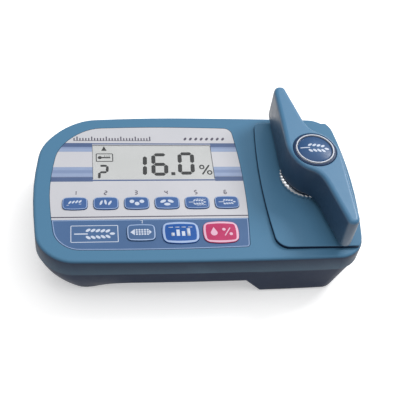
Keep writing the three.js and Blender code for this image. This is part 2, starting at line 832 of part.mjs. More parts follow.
add("press_base", pressPlate(FRAME.base), FINISH.castIron);
add("press_pillar_front", pressPillar(FRAME.y0), FINISH.castIron);
add("press_pillar_back", pressPillar(FRAME.y1 - PILLAR.thickness), FINISH.castIron);
add("press_bridge", pressBridge(), FINISH.castIron);
BOLTS.forEach(([x, y], i) => add(`pillar_bolt_${i + 1}`, pillarBolt(x, y), FINISH.steel));
add("spindle_bush", spindleBush(), FINISH.brass);
add("collar_ring", collarRing(), FINISH.chrome);
add("electrode_insulator", electrodeInsulator(), FINISH.insulator);
add("lower_electrode", lowerElectrode(), FINISH.brass);
add("temperature_sensor", temperatureSensor(), FINISH.steel);
add("electrode_lead", electrodeLead(), FINISH.lead);

add("crush_head", crushHead(), FINISH.steel);
add("head_insulator", headInsulator(), FINISH.insulator);
add("thrust_washer", thrustWasher(), FINISH.brass);
add("spindle", spindle(), FINISH.steel);
add("handle", handle(), FINISH.caseBlue);
add("handle_screw", handleScrew(), FINISH.steel);
add("badge_ring", badgeRing(), FINISH.chrome);
add("handle_badge", handleBadge(), FINISH.badgeBlue);

add("sample_dish", sampleDish(), FINISH.blackPlastic);
add("dish_insert", dishInsert(), FINISH.steel);

KEY_PADS.forEach((pad) => {
  const finish = { color: pad.color, roughness: 0.5, metalness: 0 };
  add(pad.name, keyPad(pad), finish);
});
FEET.forEach(([x, y], i) => add(`rubber_foot_${i + 1}`, rubberFoot(x, y), FINISH.rubber));
CASE_SCREWS.forEach(([x, y], i) => add(`case_screw_${i + 1}`, caseScrew(x, y), FINISH.steel));

export default meter;
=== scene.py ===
import json
import math
import bpy
import bmesh
from mathutils import Matrix, Vector
from mathutils.geometry import interpolate_bezier


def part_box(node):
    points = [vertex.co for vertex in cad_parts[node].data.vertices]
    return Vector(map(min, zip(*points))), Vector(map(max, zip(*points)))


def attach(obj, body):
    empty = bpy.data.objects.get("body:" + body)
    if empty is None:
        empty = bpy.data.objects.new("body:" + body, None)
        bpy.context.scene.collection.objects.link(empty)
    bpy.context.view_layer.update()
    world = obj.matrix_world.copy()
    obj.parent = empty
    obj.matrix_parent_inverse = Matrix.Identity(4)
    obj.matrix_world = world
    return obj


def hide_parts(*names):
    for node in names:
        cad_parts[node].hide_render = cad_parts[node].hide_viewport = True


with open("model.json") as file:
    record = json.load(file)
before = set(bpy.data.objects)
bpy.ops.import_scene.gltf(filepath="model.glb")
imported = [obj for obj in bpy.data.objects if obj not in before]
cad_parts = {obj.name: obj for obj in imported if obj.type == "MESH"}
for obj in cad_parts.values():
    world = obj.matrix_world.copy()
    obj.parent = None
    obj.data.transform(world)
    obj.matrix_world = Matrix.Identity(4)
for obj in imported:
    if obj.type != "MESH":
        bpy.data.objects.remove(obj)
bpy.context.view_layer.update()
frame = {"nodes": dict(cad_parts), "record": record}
mm = 0.001
print("frame loaded:", len(frame["nodes"]), "nodes")


# places, all in millimetres and all read from the frame
def span(node):
    low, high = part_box(node)
    return low / mm, high / mm


def middle(node):
    low, high = span(node)
    return (low + high) / 2


lidLow, lidHigh = span("top_case")
shellLow, shellHigh = span("bottom_case")
labelLow, labelHigh = span("keypad_overlay")
paneLow, paneHigh = span("lcd_window")
collarLow, collarHigh = span("collar_ring")
handleLow, handleHigh = span("handle")
dishLow, dishHigh = span("sample_dish")
doorLow, doorHigh = span("battery_door")
axisX, axisY = middle("collar_ring").x, middle("collar_ring").y
keyNodes = [f"grain_key_{i}" for i in range(1, 8)] + ["average_key", "measure_key"]


# camera
viewpoint = {
    "place": Vector((-0.0782, -0.3482, 0.4460)),
    "pitch": math.radians(49.93),  # below the horizon
    "heading": math.radians(13.27),  # from +Y towards +X
    "roll": math.radians(9.74),
    "lens": 72.2,
}


def makeCamera():
    camera = bpy.data.objects.new("camera", bpy.data.cameras.new("camera"))
    camera.data.lens = viewpoint["lens"]
    camera.data.sensor_width = 36
    camera.data.clip_start = 0.01
    camera.matrix_world = (
        Matrix.Translation(viewpoint["place"])
        @ Matrix.Rotation(-viewpoint["heading"], 4, "Z")
        @ Matrix.Rotation(math.pi / 2 - viewpoint["pitch"], 4, "X")
        @ Matrix.Rotation(viewpoint["roll"], 4, "Z")
    )
    bpy.context.scene.collection.objects.link(camera)
    bpy.context.scene.camera = camera


makeCamera()
print("camera ready")


# materials
def hexColour(code):
    def channel(pair):
        value = int(pair, 16) / 255
        return value / 12.92 if value <= 0.04045 else ((value + 0.055) / 1.055) ** 2.4

    return tuple(channel(code[i:i + 2]) for i in (1, 3, 5)) + (1.0,)


def perMm(size):
    return 1 / (size * mm)  # pattern scale for a feature of this many millimetres


def addNode(material, kind, settings=None):
    # a setting is a plain value, a "#rrggbb" colour, or the node or socket to read from
    node = material.node_tree.nodes.new("ShaderNode" + kind)
    for name, value in (settings or {}).items():
        if isinstance(value, bpy.types.Node):
            value = value.outputs[0]
        if isinstance(value, str) and value.startswith("#"):
            value = hexColour(value)
        if isinstance(value, bpy.types.NodeSocket):
            material.node_tree.links.new(value, node.inputs[name])
        elif isinstance(name, int) or name in node.inputs:
            node.inputs[name].default_value = value
        else:
            setattr(node, name, value)
    return node


def startMaterial(name):
    material = bpy.data.materials.new(name)
    material.use_nodes = True
    material.node_tree.nodes.clear()
    return material, addNode(material, "TexCoord").outputs["Object"]


def layerColours(material, body, layers):
    # each layer: what drives it, where it starts, where it is full, how strong it gets, its colour
    for driver, start, full, most, colour in layers:
        amount = addNode(material, "MapRange", {
            "Value": driver, "From Min": start, "From Max": full, "To Max": most,
        })
        body = addNode(material, "MixRGB", {"Fac": amount, "Color1": body, "Color2": colour})
    return body


def finishMaterial(material, settings, gloss=None, relief=None):
    # gloss: its driver, a low and a high mark, the roughness at each
    # relief: its height, how strongly it shows, its depth in millimetres
    if gloss:
        driver, low, high, smooth, rough = gloss
        settings["Roughness"] = addNode(material, "MapRange", {
            "Value": driver, "From Min": low, "From Max": high, "To Min": smooth, "To Max": rough,
        })
    if relief:
        height, strength, depth = relief
        settings["Normal"] = addNode(material, "Bump", {
            "Height": height, "Strength": strength, "Distance": depth * mm,
        })
    surface = addNode(material, "BsdfPrincipled", settings)
    addNode(material, "OutputMaterial", {"Surface": surface})
    return material


def grainyMaterial(name, look):
    # A base colour that drifts a little, a fine surface grain, scuffs in the gloss,
    # where a worn colour is given, paler edges, and, where a top colour is given, painted light on
    # upward faces.
    material, place = startMaterial(name)
    geometry = addNode(material, "NewGeometry")
    drift = addNode(material, "TexNoise", {
        "Vector": place, "Scale": perMm(look["driftMm"]), "Detail": 3.0,
    })
    grain = addNode(material, "TexNoise", {
        "Vector": place, "Scale": perMm(look["grainMm"]), "Detail": 2.0, "Roughness": 0.6,
    })
    scuff = addNode(material, "TexNoise", {
        "Vector": place, "Scale": perMm(look.get("scuffMm", 9)), "Detail": 8.0,
        "Roughness": 0.75, "Distortion": 0.6,
    })
    layers = [(drift, 0.3, 0.7, 1.0, look["shade"])]
    if "worn" in look:
        layers.append((geometry.outputs["Pointiness"], 0.53, 0.62, look["wear"], look["worn"]))
    layers.append((grain, 0.35, 0.7, look.get("speckle", 0.12), look["shade"]))
    if "paintedTopLight" in look:
        # painted light and shade: faces that look up are painted paler as if lit, and walls keep the
        # dark base colour as painted shade
        facing = addNode(material, "SeparateXYZ", {"Vector": geometry.outputs["Normal"]})
        layers.append((facing.outputs["Z"], 0.15, 0.85, 1.0, look["paintedTopLight"]))
    surface = {"Base Color": layerColours(material, look["colour"], layers)}
    for setting in ("Metallic", "IOR", "Specular IOR Level"):
        if setting in look:
            surface[setting] = look[setting]
    gloss = (scuff, 0.35, 0.72, *look["roughness"])
    return finishMaterial(material, surface, gloss, (grain, *look["relief"]))


# ABS moulded in a spark-eroded tool: a soft satin sheen broken up by a fine pebble.
# The true pebble is near 0.2 mm; it is drawn at 0.7 mm so that it shows.
caseAbs = grainyMaterial("moulded_abs_blue", {
    # painted shade and light: the dark base colour stands in for the shade on the walls, and the pale
    # top colour stands in for the light on faces that look up
    "colour": "#13233c", "shade": "#112038", "worn": "#7fa6ba", "wear": 0.35, "paintedTopLight": "#4f7c9c",
    "driftMm": 45, "grainMm": 0.7, "roughness": (0.36, 0.5), "relief": (0.22, 0.06),
    "IOR": 1.53, "Specular IOR Level": 0.16,
})
# The same ABS in the handle's lighter colour, polished a little by hands.
handleAbs = grainyMaterial("moulded_abs_handle", {
    # painted shade and light: the dark base colour stands in for the shade on the handle's walls, and
    # the pale top colour stands in for the light on its top
    "colour": "#263d56", "shade": "#223850", "worn": "#8fb4c6", "wear": 0.5, "paintedTopLight": "#43779c",
    "driftMm": 38, "grainMm": 0.7, "roughness": (0.34, 0.48), "relief": (0.2, 0.06),
    "IOR": 1.53,
})
# Polyester film printed on its back: an even satin face with a slight orange peel.
filmWhite = grainyMaterial("polyester_film_pale", {
    "colour": "#c6c6cc", "shade": "#c1c2c8",
    "driftMm": 30, "grainMm": 1.4, "roughness": (0.36, 0.48), "relief": (0.06, 0.05),
    "speckle": 0.25, "IOR": 1.57,
})
# The band along the front of the label: the same film over a slate blue print.
filmNavy = grainyMaterial("polyester_film_navy", {
    "colour": "#4a6994", "shade": "#44638d",
    "driftMm": 26, "grainMm": 1.4, "roughness": (0.34, 0.46), "relief": (0.06, 0.05),
    "IOR": 1.57, "Specular IOR Level": 0.22,
})
inkFinish = {
    "driftMm": 20, "grainMm": 0.9, "roughness": (0.38, 0.5), "relief": (0.05, 0.03),
}
# Screen inks: matt, slightly uneven layers that stand out from the satin film.
inkDark = grainyMaterial("screen_ink_slate", {
    "colour": "#4d6189", "shade": "#475b82",
    **inkFinish, "relief": (0.06, 0.03),
})
inkPale = grainyMaterial("screen_ink_pale_blue", {
    "colour": "#a3b8da", "shade": "#9ab0d4",
    **inkFinish, "relief": (0.06, 0.03),
})
inkGrey = grainyMaterial("screen_ink_grey", {
    "colour": "#4f4b5c", "shade": "#494556",
    **inkFinish, "roughness": (0.4, 0.52),
})
inkWhite = grainyMaterial("screen_ink_white", {"colour": "#c9d2e2", "shade": "#c0cadc", **inkFinish})
keyFinish = {
    "driftMm": 9, "grainMm": 0.8, "roughness": (0.3, 0.44), "relief": (0.08, 0.03),
    "IOR": 1.57, "Specular IOR Level": 0.22,
}
# Embossed key faces: stretched film, a little glossier than the flat label.
keyNavy = grainyMaterial("embossed_film_slate_blue", {
    "colour": "#43659b", "shade": "#3d5e93",
    **keyFinish, "roughness": (0.32, 0.46),
})
keyBlue = grainyMaterial("embossed_film_bright_blue", {
    "colour": "#1c57a4", "shade": "#184f99", **keyFinish,
})
keyRed = grainyMaterial("embossed_film_crimson", {"colour": "#bb3667", "shade": "#b1305f", **keyFinish})
# Pale rim and signs of the measuring key.
inkPink = grainyMaterial("screen_ink_pale_pink", {"colour": "#dfb4ca", "shade": "#d8aac1", **inkFinish})
# Reflective back of a liquid crystal cell: a dull grey with a faint green cast.
displayGrey = grainyMaterial("liquid_crystal_reflector", {
    "colour": "#c6c7c7", "shade": "#bfc1c0",
    "driftMm": 24, "grainMm": 0.5, "roughness": (0.42, 0.5), "relief": (0.03, 0.02),
    "speckle": 0.2,
    "Specular IOR Level": 0.22,
})
# Lit display segments: flat near-black that gives the reading its contrast.
segmentBlack = grainyMaterial("liquid_crystal_segment", {
    "colour": "#070808", "shade": "#040505",
    "driftMm": 6, "grainMm": 0.5, "roughness": (0.4, 0.5), "relief": (0.02, 0.02),
    "Specular IOR Level": 0.22,
})
# Turned and polished steel under bright chrome: nearly a mirror, with hairlines.
chromePlate = grainyMaterial("bright_chrome_plate", {
    "colour": "#dfe1e4", "shade": "#cfd2d6", "worn": "#f2f3f5", "wear": 0.3,
    "driftMm": 6, "grainMm": 0.5, "roughness": (0.07, 0.2), "relief": (0.06, 0.02),
    "Metallic": 1.0, "scuffMm": 3,
})
# Brushed chrome on the badge's rim: a soft bright line instead of a mirror.
satinChrome = grainyMaterial("satin_chrome_bezel", {
    "colour": "#b4b9c2", "shade": "#a6abb5", "worn": "#d9dce1", "wear": 0.3,
    "driftMm": 6, "grainMm": 0.5, "roughness": (0.24, 0.34), "relief": (0.06, 0.02),
    "Metallic": 1.0, "scuffMm": 3,
})
# Dark moulded backing that outlines the badge against the handle.
badgeNavy = grainyMaterial("badge_backing_abs", {
    "colour": "#20385c", "shade": "#1d3455",
    "driftMm": 6, "grainMm": 0.5, "roughness": (0.36, 0.46), "relief": (0.06, 0.02),
    "IOR": 1.53, "Specular IOR Level": 0.22,
})
# Machined steel: tool hairlines and darker patches where it has been oiled.
steel = grainyMaterial("turned_steel", {
    "colour": "#a4a7ab", "shade": "#8e9196", "worn": "#c7c9cc", "wear": 0.5,
    "driftMm": 7, "grainMm": 0.6, "roughness": (0.24, 0.44), "relief": (0.15, 0.03),
    "Metallic": 1.0, "scuffMm": 3,
})
# As-cast iron: a coarse sandy skin with bright rubbed edges.
castIron = grainyMaterial("sand_cast_iron", {
    "colour": "#4b4d50", "shade": "#3b3c3f", "worn": "#8a8c8f", "wear": 0.7,
    "driftMm": 6, "grainMm": 1.1, "roughness": (0.5, 0.75), "relief": (0.6, 0.2),
    "Metallic": 1.0, "speckle": 0.5,
})
# Turned brass: warm metal that has dulled unevenly.
brass = grainyMaterial("turned_brass", {
    "colour": "#c9a351", "shade": "#b08a3c", "worn": "#e3c781", "wear": 0.5,
    "driftMm": 8, "grainMm": 0.7, "roughness": (0.22, 0.4), "relief": (0.12, 0.03),
    "Metallic": 1.0, "scuffMm": 4,
})
# Glass-filled nylon: nearly black, dull, with a fibrous skin.
blackNylon = grainyMaterial("glass_filled_nylon_black", {
    "colour": "#26282b", "shade": "#1d1f21", "worn": "#55585c", "wear": 0.6,
    "driftMm": 12, "grainMm": 0.6, "roughness": (0.48, 0.62), "relief": (0.35, 0.08),
    "IOR": 1.53,
})
# Unfilled nylon: warm off-white insulation that yellows in patches.
paleNylon = grainyMaterial("natural_nylon", {
    "colour": "#e0dac8", "shade": "#d3ccb7", "worn": "#efebdf", "wear": 0.4,
    "driftMm": 9, "grainMm": 0.7, "roughness": (0.4, 0.52), "relief": (0.15, 0.05),
    "IOR": 1.53,
})
# Natural rubber mix, cured in an unpolished tool and slightly bloomed.
footRubber = grainyMaterial("cured_rubber", {
    "colour": "#2b2c2e", "shade": "#202123", "worn": "#4d4f52", "wear": 0.6,
    "driftMm": 5, "grainMm": 0.6, "roughness": (0.78, 0.92), "relief": (0.5, 0.1),
    "speckle": 0.4, "IOR": 1.52,
})
# Soft PVC over the leads: dark red and slightly waxy.
wireJacket = grainyMaterial("pvc_wire_jacket", {
    "colour": "#8c2d28", "shade": "#7a2521", "worn": "#ab4e47", "wear": 0.3,
    "driftMm": 5, "grainMm": 0.6, "roughness": (0.38, 0.5), "relief": (0.1, 0.03),
    "IOR": 1.53,
})
# Epoxy glass laminate under solder mask: green, semi-gloss, with copper showing as paler tracks.
boardMask = grainyMaterial("solder_mask_green", {
    "colour": "#235a33", "shade": "#2f7043", "worn": "#69a077", "wear": 0.3,
    "driftMm": 3, "grainMm": 0.8, "roughness": (0.25, 0.4), "relief": (0.1, 0.04),
    "speckle": 0.4, "IOR": 1.55,
})


def stripeInk():
    # Pale blue ink ruled with fine darker lines 0.9 mm apart: it reads as a band of hatching.
    material, place = startMaterial("screen_ink_ruled_blue")
    rows = addNode(material, "TexWave", {
        "Vector": place, "bands_direction": "Y", "Scale": perMm(0.9) / 20, "Distortion": 0.0,
    }).outputs["Fac"]
    mottle = addNode(material, "TexNoise", {"Vector": place, "Scale": perMm(8), "Detail": 4.0})
    body = layerColours(material, "#7a8cb0", [
        (rows, 0.25, 0.75, 1.0, "#8fa0c0"),
        (mottle, 0.3, 0.7, 0.3, "#7789ad"),
    ])
    gloss = (mottle, 0.3, 0.7, 0.38, 0.48)
    return finishMaterial(material, {"Base Color": body, "IOR": 1.57}, gloss, (rows, 0.08, 0.03))


def clearPane():
    # Cast acrylic, hard coated: clear, with a thin bright reflection and faint wipe marks.
    material, place = startMaterial("clear_acrylic_pane")
    wipes = addNode(material, "TexNoise", {
        "Vector": place, "Scale": perMm(14), "Detail": 6.0, "Distortion": 1.2,
    })
    tint = layerColours(material, "#e8ecee", [(wipes, 0.0, 1.0, 1.0, "#dfe5e8")])
    surface = {"Base Color": tint, "IOR": 1.49, "Alpha": 0.035}
    return finishMaterial(material, surface, (wipes, 0.35, 0.7, 0.05, 0.16))


def badgeResin():
    # Clear doming resin over a blue print: a deep glossy blue that lightens towards its middle.
    material, place = startMaterial("domed_resin_blue")
    centred = addNode(material, "Mapping", {
        "Vector": place, "vector_type": "POINT",
        "Location": (-axisX * mm, -axisY * mm, -handleHigh.z * mm),
    })
    reach = addNode(material, "VectorMath", {"operation": "LENGTH", 0: centred}).outputs["Value"]
    weave = addNode(material, "TexNoise", {"Vector": place, "Scale": perMm(3), "Detail": 5.0})
    body = layerColours(material, "#365b87", [
        (reach, 2 * mm, 13 * mm, 1.0, "#294a75"),
        (weave, 0.35, 0.7, 0.25, "#26456c"),
    ])
    surface = {"Base Color": body, "IOR": 1.5, "Specular IOR Level": 0.25}
    return finishMaterial(material, surface, (weave, 0.3, 0.7, 0.26, 0.36))


def cellSleeve():
    # Printed shrink sleeve: dark, with a copper-coloured band round the middle of each cell.
    material, place = startMaterial("printed_shrink_sleeve")
    along = addNode(material, "SeparateXYZ", {"Vector": place}).outputs["Y"]
    grain = addNode(material, "TexNoise", {"Vector": place, "Scale": perMm(5), "Detail": 5.0})
    band = addNode(material, "Math", {
        "operation": "COMPARE", 0: along, 1: middle("battery_cell_1").y * mm, 2: 8.5 * mm,
    })
    body = layerColours(material, "#26292e", [
        (band, 0.0, 1.0, 1.0, "#b5763b"),
        (grain, 0.3, 0.7, 0.3, "#1b1d21"),
    ])
    surface = {"Base Color": body, "Metallic": 0.35}
    return finishMaterial(material, surface, (grain, 0.3, 0.7, 0.22, 0.36), (grain, 0.1, 0.04))


ruledInk = stripeInk()
acrylic = clearPane()
resin = badgeResin()
sleeve = cellSleeve()
slotMaterials = {
    "case_abs": caseAbs, "handle_abs": handleAbs, "label_film": filmWhite, "clear_pane": acrylic,
    "display": displayGrey, "black_plastic": blackNylon, "board": boardMask, "steel": steel,
    "lead": wireJacket, "iron": castIron, "brass": brass, "bright_chrome": chromePlate,
    "insulator": paleNylon, "badge_enamel": resin, "dish_plastic": blackNylon,
    "cell_jacket": sleeve, "rubber": footRubber, "key_film": keyNavy, "band_key_film": filmNavy,
    "average_key_film": keyBlue, "measure_key_film": keyRed,
}


def dressFrameNodes():
    for part in frame["record"]["subparts"]:
        node = frame["nodes"][part["node"]]
        node.data.materials.clear()
        node.data.materials.append(slotMaterials[part["material_slot"]])


dressFrameNodes()
print("materials ready:", len(bpy.data.materials))


# mesh helpers, in millimetres
def blockMesh(low, high):
    bm = bmesh.new()
    bmesh.ops.create_cube(bm, size=1)
    bmesh.ops.scale(bm, vec=Vector(high) - Vector(low), verts=bm.verts)
    bmesh.ops.translate(bm, vec=(Vector(low) + Vector(high)) / 2, verts=bm.verts)
    return bm


def soften(bm, edges, size, segments=3):
    bmesh.ops.bevel(
        bm, geom=edges, offset=size, offset_type="OFFSET", affect="EDGES",
        segments=segments, profile=0.5, material=-1, clamp_overlap=True,
    )


def upright(edge):
    return (edge.verts[0].co - edge.verts[1].co).xy.length < 1e-4


def roundedBlock(low, high, radii, steps=8):
    # radii: front left, front right, back right, back left, or one number for all four
    bm = blockMesh(low, high)
    if not isinstance(radii, (tuple, list)):
        radii = (radii,) * 4
    corners = ((low[0], low[1]), (high[0], low[1]), (high[0], high[1]), (low[0], high[1]))
    for (x, y), radius in zip(corners, radii):
        standing = [e for e in bm.edges if upright(e)]
        edge = min(standing, key=lambda e: (e.verts[0].co.xy - Vector((x, y))).length)
        soften(bm, [edge], radius, steps)
    return bm


def rimEdges(bm, z):
    # the outline of the flat face at this height
    found = []
    for edge in bm.edges:
        if all(abs(v.co.z - z) < 1e-3 for v in edge.verts) and len(edge.link_faces) == 2:
            flat = [abs(f.normal.z) > 0.99 for f in edge.link_faces]
            if flat[0] != flat[1]:
                found.append(edge)
    return found


def cutAcross(bm, axis, places):
    direction = Vector((0, 0, 0))
    direction[axis] = 1
    for place in places:
        bmesh.ops.bisect_plane(
            bm, geom=bm.verts[:] + bm.edges[:] + bm.faces[:], dist=1e-5,
            plane_co=direction * place, plane_no=direction,
        )


def evenly(start, end, count):
    return [start + (end - start) * (i + 1) / (count + 1) for i in range(count)]


def bowSides(bm, low, high, out, cuts=(0, 0)):
    # cuts the block across, then pushes each side out in a shallow arch of this sagitta
    cutAcross(bm, 0, evenly(low[0], high[0], cuts[0]))
    cutAcross(bm, 1, evenly(low[1], high[1], cuts[1]))
    if not isinstance(out, dict):
        out = dict.fromkeys(("left", "right", "front", "back"), out)
    centre = (Vector(low) + Vector(high)) / 2
    half = (Vector(high) - Vector(low)) / 2
    for v in bm.verts:
        across = (v.co.x - centre.x) / half.x
        along = (v.co.y - centre.y) / half.y
        sideways = out["right"] if across > 0 else out["left"]
        v.co.x += across * sideways * (1 - along * along)
        endways = out["back"] if along > 0 else out["front"]
        v.co.y += along * endways * (1 - across * across)


def clamp(value):
    return min(max(value, 0), 1)


backLeft = {"fromX": -15, "reachX": 85, "fromY": -10, "reachY": 70}


def easeBackLeft(bm, across, along):
    # draws the back left quarter inwards, so both of its sides slope towards the corner
    for v in bm.verts:
        left = clamp((backLeft["fromX"] - v.co.x) / backLeft["reachX"])
        back = clamp((v.co.y - backLeft["fromY"]) / backLeft["reachY"])
        v.co.x += across * left ** 2 * back ** 1.5
        v.co.y -= along * left ** 1.5 * back ** 2


def turnedMesh(profile, x, y, steps=48):
    # a closed solid of revolution; profile is a list of (radius, z)
    bm = bmesh.new()
    verts = [bm.verts.new((r, 0, z)) for r, z in profile]
    edges = [bm.edges.new(pair) for pair in zip(verts, verts[1:])]
    if profile[0][0] > 0 or profile[-1][0] > 0:
        edges.append(bm.edges.new((verts[-1], verts[0])))
    bmesh.ops.spin(
        bm, geom=verts + edges, cent=(0, 0, 0), axis=(0, 0, 1), angle=2 * math.pi,
        steps=steps, use_merge=True, use_duplicate=False,
    )
    bmesh.ops.remove_doubles(bm, verts=bm.verts, dist=1e-4)
    bmesh.ops.recalc_face_normals(bm, faces=bm.faces)
    bmesh.ops.translate(bm, vec=(x, y, 0), verts=bm.verts)
    return bm


def plug(radius, z0, z1, x, y, steps):
    return turnedMesh([(0, z0), (radius, z0), (radius, z1), (0, z1)], x, y, steps)


def thicken(bm, thick):
    grown = bmesh.ops.extrude_face_region(bm, geom=bm.faces[:])
    top = [v for v in grown["geom"] if isinstance(v, bmesh.types.BMVert)]
    bmesh.ops.translate(bm, vec=(0, 0, thick), verts=top)
    bmesh.ops.recalc_face_normals(bm, faces=bm.faces)


def prism(points, z0, z1):
    bm = bmesh.new()
    bm.faces.new([bm.verts.new((x, y, z0)) for x, y in points])
    thicken(bm, z1 - z0)
    return bm


def makeObject(name, bm):
    mesh = bpy.data.meshes.new(name)
    bm.to_mesh(mesh)
    bm.free()
    piece = bpy.data.objects.new(name, mesh)
    bpy.context.scene.collection.objects.link(piece)
    return piece


def combine(target, tools, operation):
    for tool in tools:
        step = target.modifiers.new(operation.lower(), "BOOLEAN")
        step.operation = operation
        step.solver = "EXACT"
        step.object = tool
    graph = bpy.context.evaluated_depsgraph_get()
    shaped = bpy.data.meshes.new_from_object(target.evaluated_get(graph))
    target.modifiers.clear()
    spent = target.data
    target.data = shaped
    bpy.data.meshes.remove(spent)
    for tool in tools:
        bpy.data.objects.remove(tool)
    return target


def carve(target, *shapes):
    return combine(target, [makeObject("cutter", bm) for bm in shapes], "DIFFERENCE")


def weld(target, *shapes):
    return combine(target, [makeObject("addition", bm) for bm in shapes], "UNION")


def settle(piece, body, slotName, nodes=(), materials=(), sharp=32):
    # scale to metres, give it its finish and tie it to its body
    mesh = piece.data
    mesh.transform(Matrix.Scale(mm, 4))
    for i, material in enumerate(materials or [slotMaterials[slotName]]):
        if i < len(mesh.materials):
            mesh.materials[i] = material
        else:
            mesh.materials.append(material)
    mesh.shade_smooth()
    mesh.set_sharp_from_angle(angle=math.radians(sharp))
    for face in mesh.polygons:
        if abs(face.normal.z) > 0.9998:
            face.use_smooth = False  # level faces stay dead flat next to their rounded rims
    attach(piece, body)
    if nodes:
        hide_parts(*nodes)
    return piece


label = {
    "ease": (7.0, 2.6),
    "navyBelow": -29.6,
    "greyRule": (-28.0, -27.1),
    "windowRules": ((2.9, 4.1), (36.3, 37.5)),
    "darkStripes": ((2.5, 6.6), (34.0, 37.7)),
    "ruledStripes": ((6.7, 15.4), (29.5, 34.0)),
    "scale": {"left": -82.0, "right": -29.5, "y": 42.1, "tall": 3.6, "marks": 27},
    "dots": {"left": -4.5, "right": 22.5, "y": 41.7, "size": 2.1, "marks": 8},
    "emblem": {"x": -69.4, "y": -41.0, "wide": 30.0, "tall": 13.4},
}


# case
case = {
    "bow": {"left": 5, "right": 6, "front": 1.6, "back": 1.6},
    "corners": (21, 14, 14, 34),  # front left, front right, back right, back left
    "wall": 2.5,
    "deckEdge": 2.0,
    "ease": (4.5, 3.0),
    "bottomEdge": 1.6,
    "step": 0.7,  # the lower shell is this much smaller all round
    "belly": 13,
    "shaftHole": 9.2,
    "keyHole": 3,
    "screwPost": 4.6,
    "screwHead": (3.2, 17.9),  # radius of the counterbore, height of its end
    "screwShank": (1.7, 26),
    "footPocket": (6.1, 2.25),
    "slotPlay": 0.4,
    "slotStart": 94,
    "skidRise": (-80, -44),  # where the skid starts to rise and where it has gone
    "skidNarrow": (-74, -44),
    "skidDraw": 0.085,
    "blockDrop": (29, 40),
    "leftEnd": {"from": -58, "reach": 48, "lean": 15},
    "rightEnd": {"from": 62, "reach": 45, "lean": 10.5},
}
deckZ = labelHigh.z + 0.05
seamZ = shellHigh.z


def caseCorners(inset, z0, z1):
    low = (
        lidLow.x + case["bow"]["left"] + inset,
        lidLow.y + case["bow"]["front"] + inset,
        z0,
    )
    high = (
        lidHigh.x - case["bow"]["right"] - inset,
        lidHigh.y - case["bow"]["back"] - inset,
        z1,
    )
    return low, high, [radius - inset for radius in case["corners"]]


def caseBlock(inset, z0, z1, edge=0.0):
    low, high, radii = caseCorners(inset, z0, z1)
    bm = roundedBlock(low, high, radii, 12)
    if edge:
        soften(bm, rimEdges(bm, z1), edge, 5)
    bowSides(bm, low, high, case["bow"], (15, 9))
    easeBackLeft(bm, *case["ease"])
    return bm


platform = {
    "left": 47.0, "front": -55.4, "back": 55.6, "bow": 3.4, "edge": 0.6,
    "radii": (8, 0.5, 0.5, 4),
}


def platformObject():
    # runs out under the right-hand rim and is trimmed to it
    low = (platform["left"], platform["front"], deckZ - case["wall"])
    high = (lidHigh.x + 8, platform["back"], collarLow.z - 0.05)
    bm = roundedBlock(low, high, platform["radii"], 7)
    cutAcross(bm, 1, evenly(low[1], high[1], 15))
    for v in bm.verts:
        along = (v.co.y - (low[1] + high[1]) / 2) / ((high[1] - low[1]) / 2)
        if v.co.x < low[0] + 12:
            v.co.x -= platform["bow"] * (1 - along * along)
    step = makeObject("platform_step", bm)
    rim = makeObject("rim", caseBlock(0.9, deckZ - 5, high[2] + 5))
    combine(step, [rim], "INTERSECT")
    bm = bmesh.new()
    bm.from_mesh(step.data)
    bmesh.ops.remove_doubles(bm, verts=bm.verts, dist=1e-3)
    bmesh.ops.dissolve_limit(
        bm, angle_limit=math.radians(1), verts=bm.verts, edges=bm.edges
    )
    soften(bm, rimEdges(bm, high[2]), platform["edge"], 3)
    bm.to_mesh(step.data)
    bm.free()
    return step


def labelBlock(grow, z0, z1):
    bow = {"left": 5, "right": 3, "front": 1, "back": 1}
    low = (labelLow.x + bow["left"] - grow, labelLow.y + bow["front"] - grow, z0)
    high = (labelHigh.x - bow["right"] + grow, labelHigh.y - bow["back"] + grow, z1)
    bm = roundedBlock(low, high, (14 + grow, 2 + grow, 5 + grow, 27 + grow), 12)
    bowSides(bm, low, high, bow, (11, 11))
    easeBackLeft(bm, *label["ease"])
    return bm


def makeTopCase():
    shell = makeObject("top_shell", caseBlock(0, seamZ + 0.1, deckZ, case["deckEdge"]))
    step = platformObject()
    combine(shell, [step], "UNION")
    inside = caseBlock(case["wall"], seamZ - 1, deckZ - case["wall"])
    recess = labelBlock(0.3, deckZ - 0.6, deckZ + 1)
    windowHole = roundedBlock(
        (paneLow.x - 0.1, paneLow.y - 0.1, deckZ - 5),
        (paneHigh.x + 0.1, paneHigh.y + 0.1, deckZ + 1), 0.6, 4,
    )
    shaftHole = plug(case["shaftHole"], deckZ - 6, deckZ + 6, axisX, axisY, 48)
    stems = []
    for node in keyNodes:
        at = middle(node)
        stems.append(plug(case["keyHole"], deckZ - 4, deckZ + 1, at.x, at.y, 16))
    carve(shell, inside)
    carve(shell, recess)
    carve(shell, windowHole, shaftHole, *stems)
    return settle(shell, "case", "case_abs", ["top_case"])


def smoothStep(value, start, end):
    t = clamp((value - start) / (end - start))
    return t * t * (3 - 2 * t)


def depthBelowSeam(x, inset):
    # how far the lower shell hangs below the seam: skid at the left, block at the right
    full = seamZ - shellLow.z
    belly = seamZ - case["belly"]
    skid = 1 - smoothStep(x, *case["skidRise"])
    start, end = case["blockDrop"]
    block = clamp((x - start) / (end - start))
    return belly + (full - belly) * max(skid, block) - inset


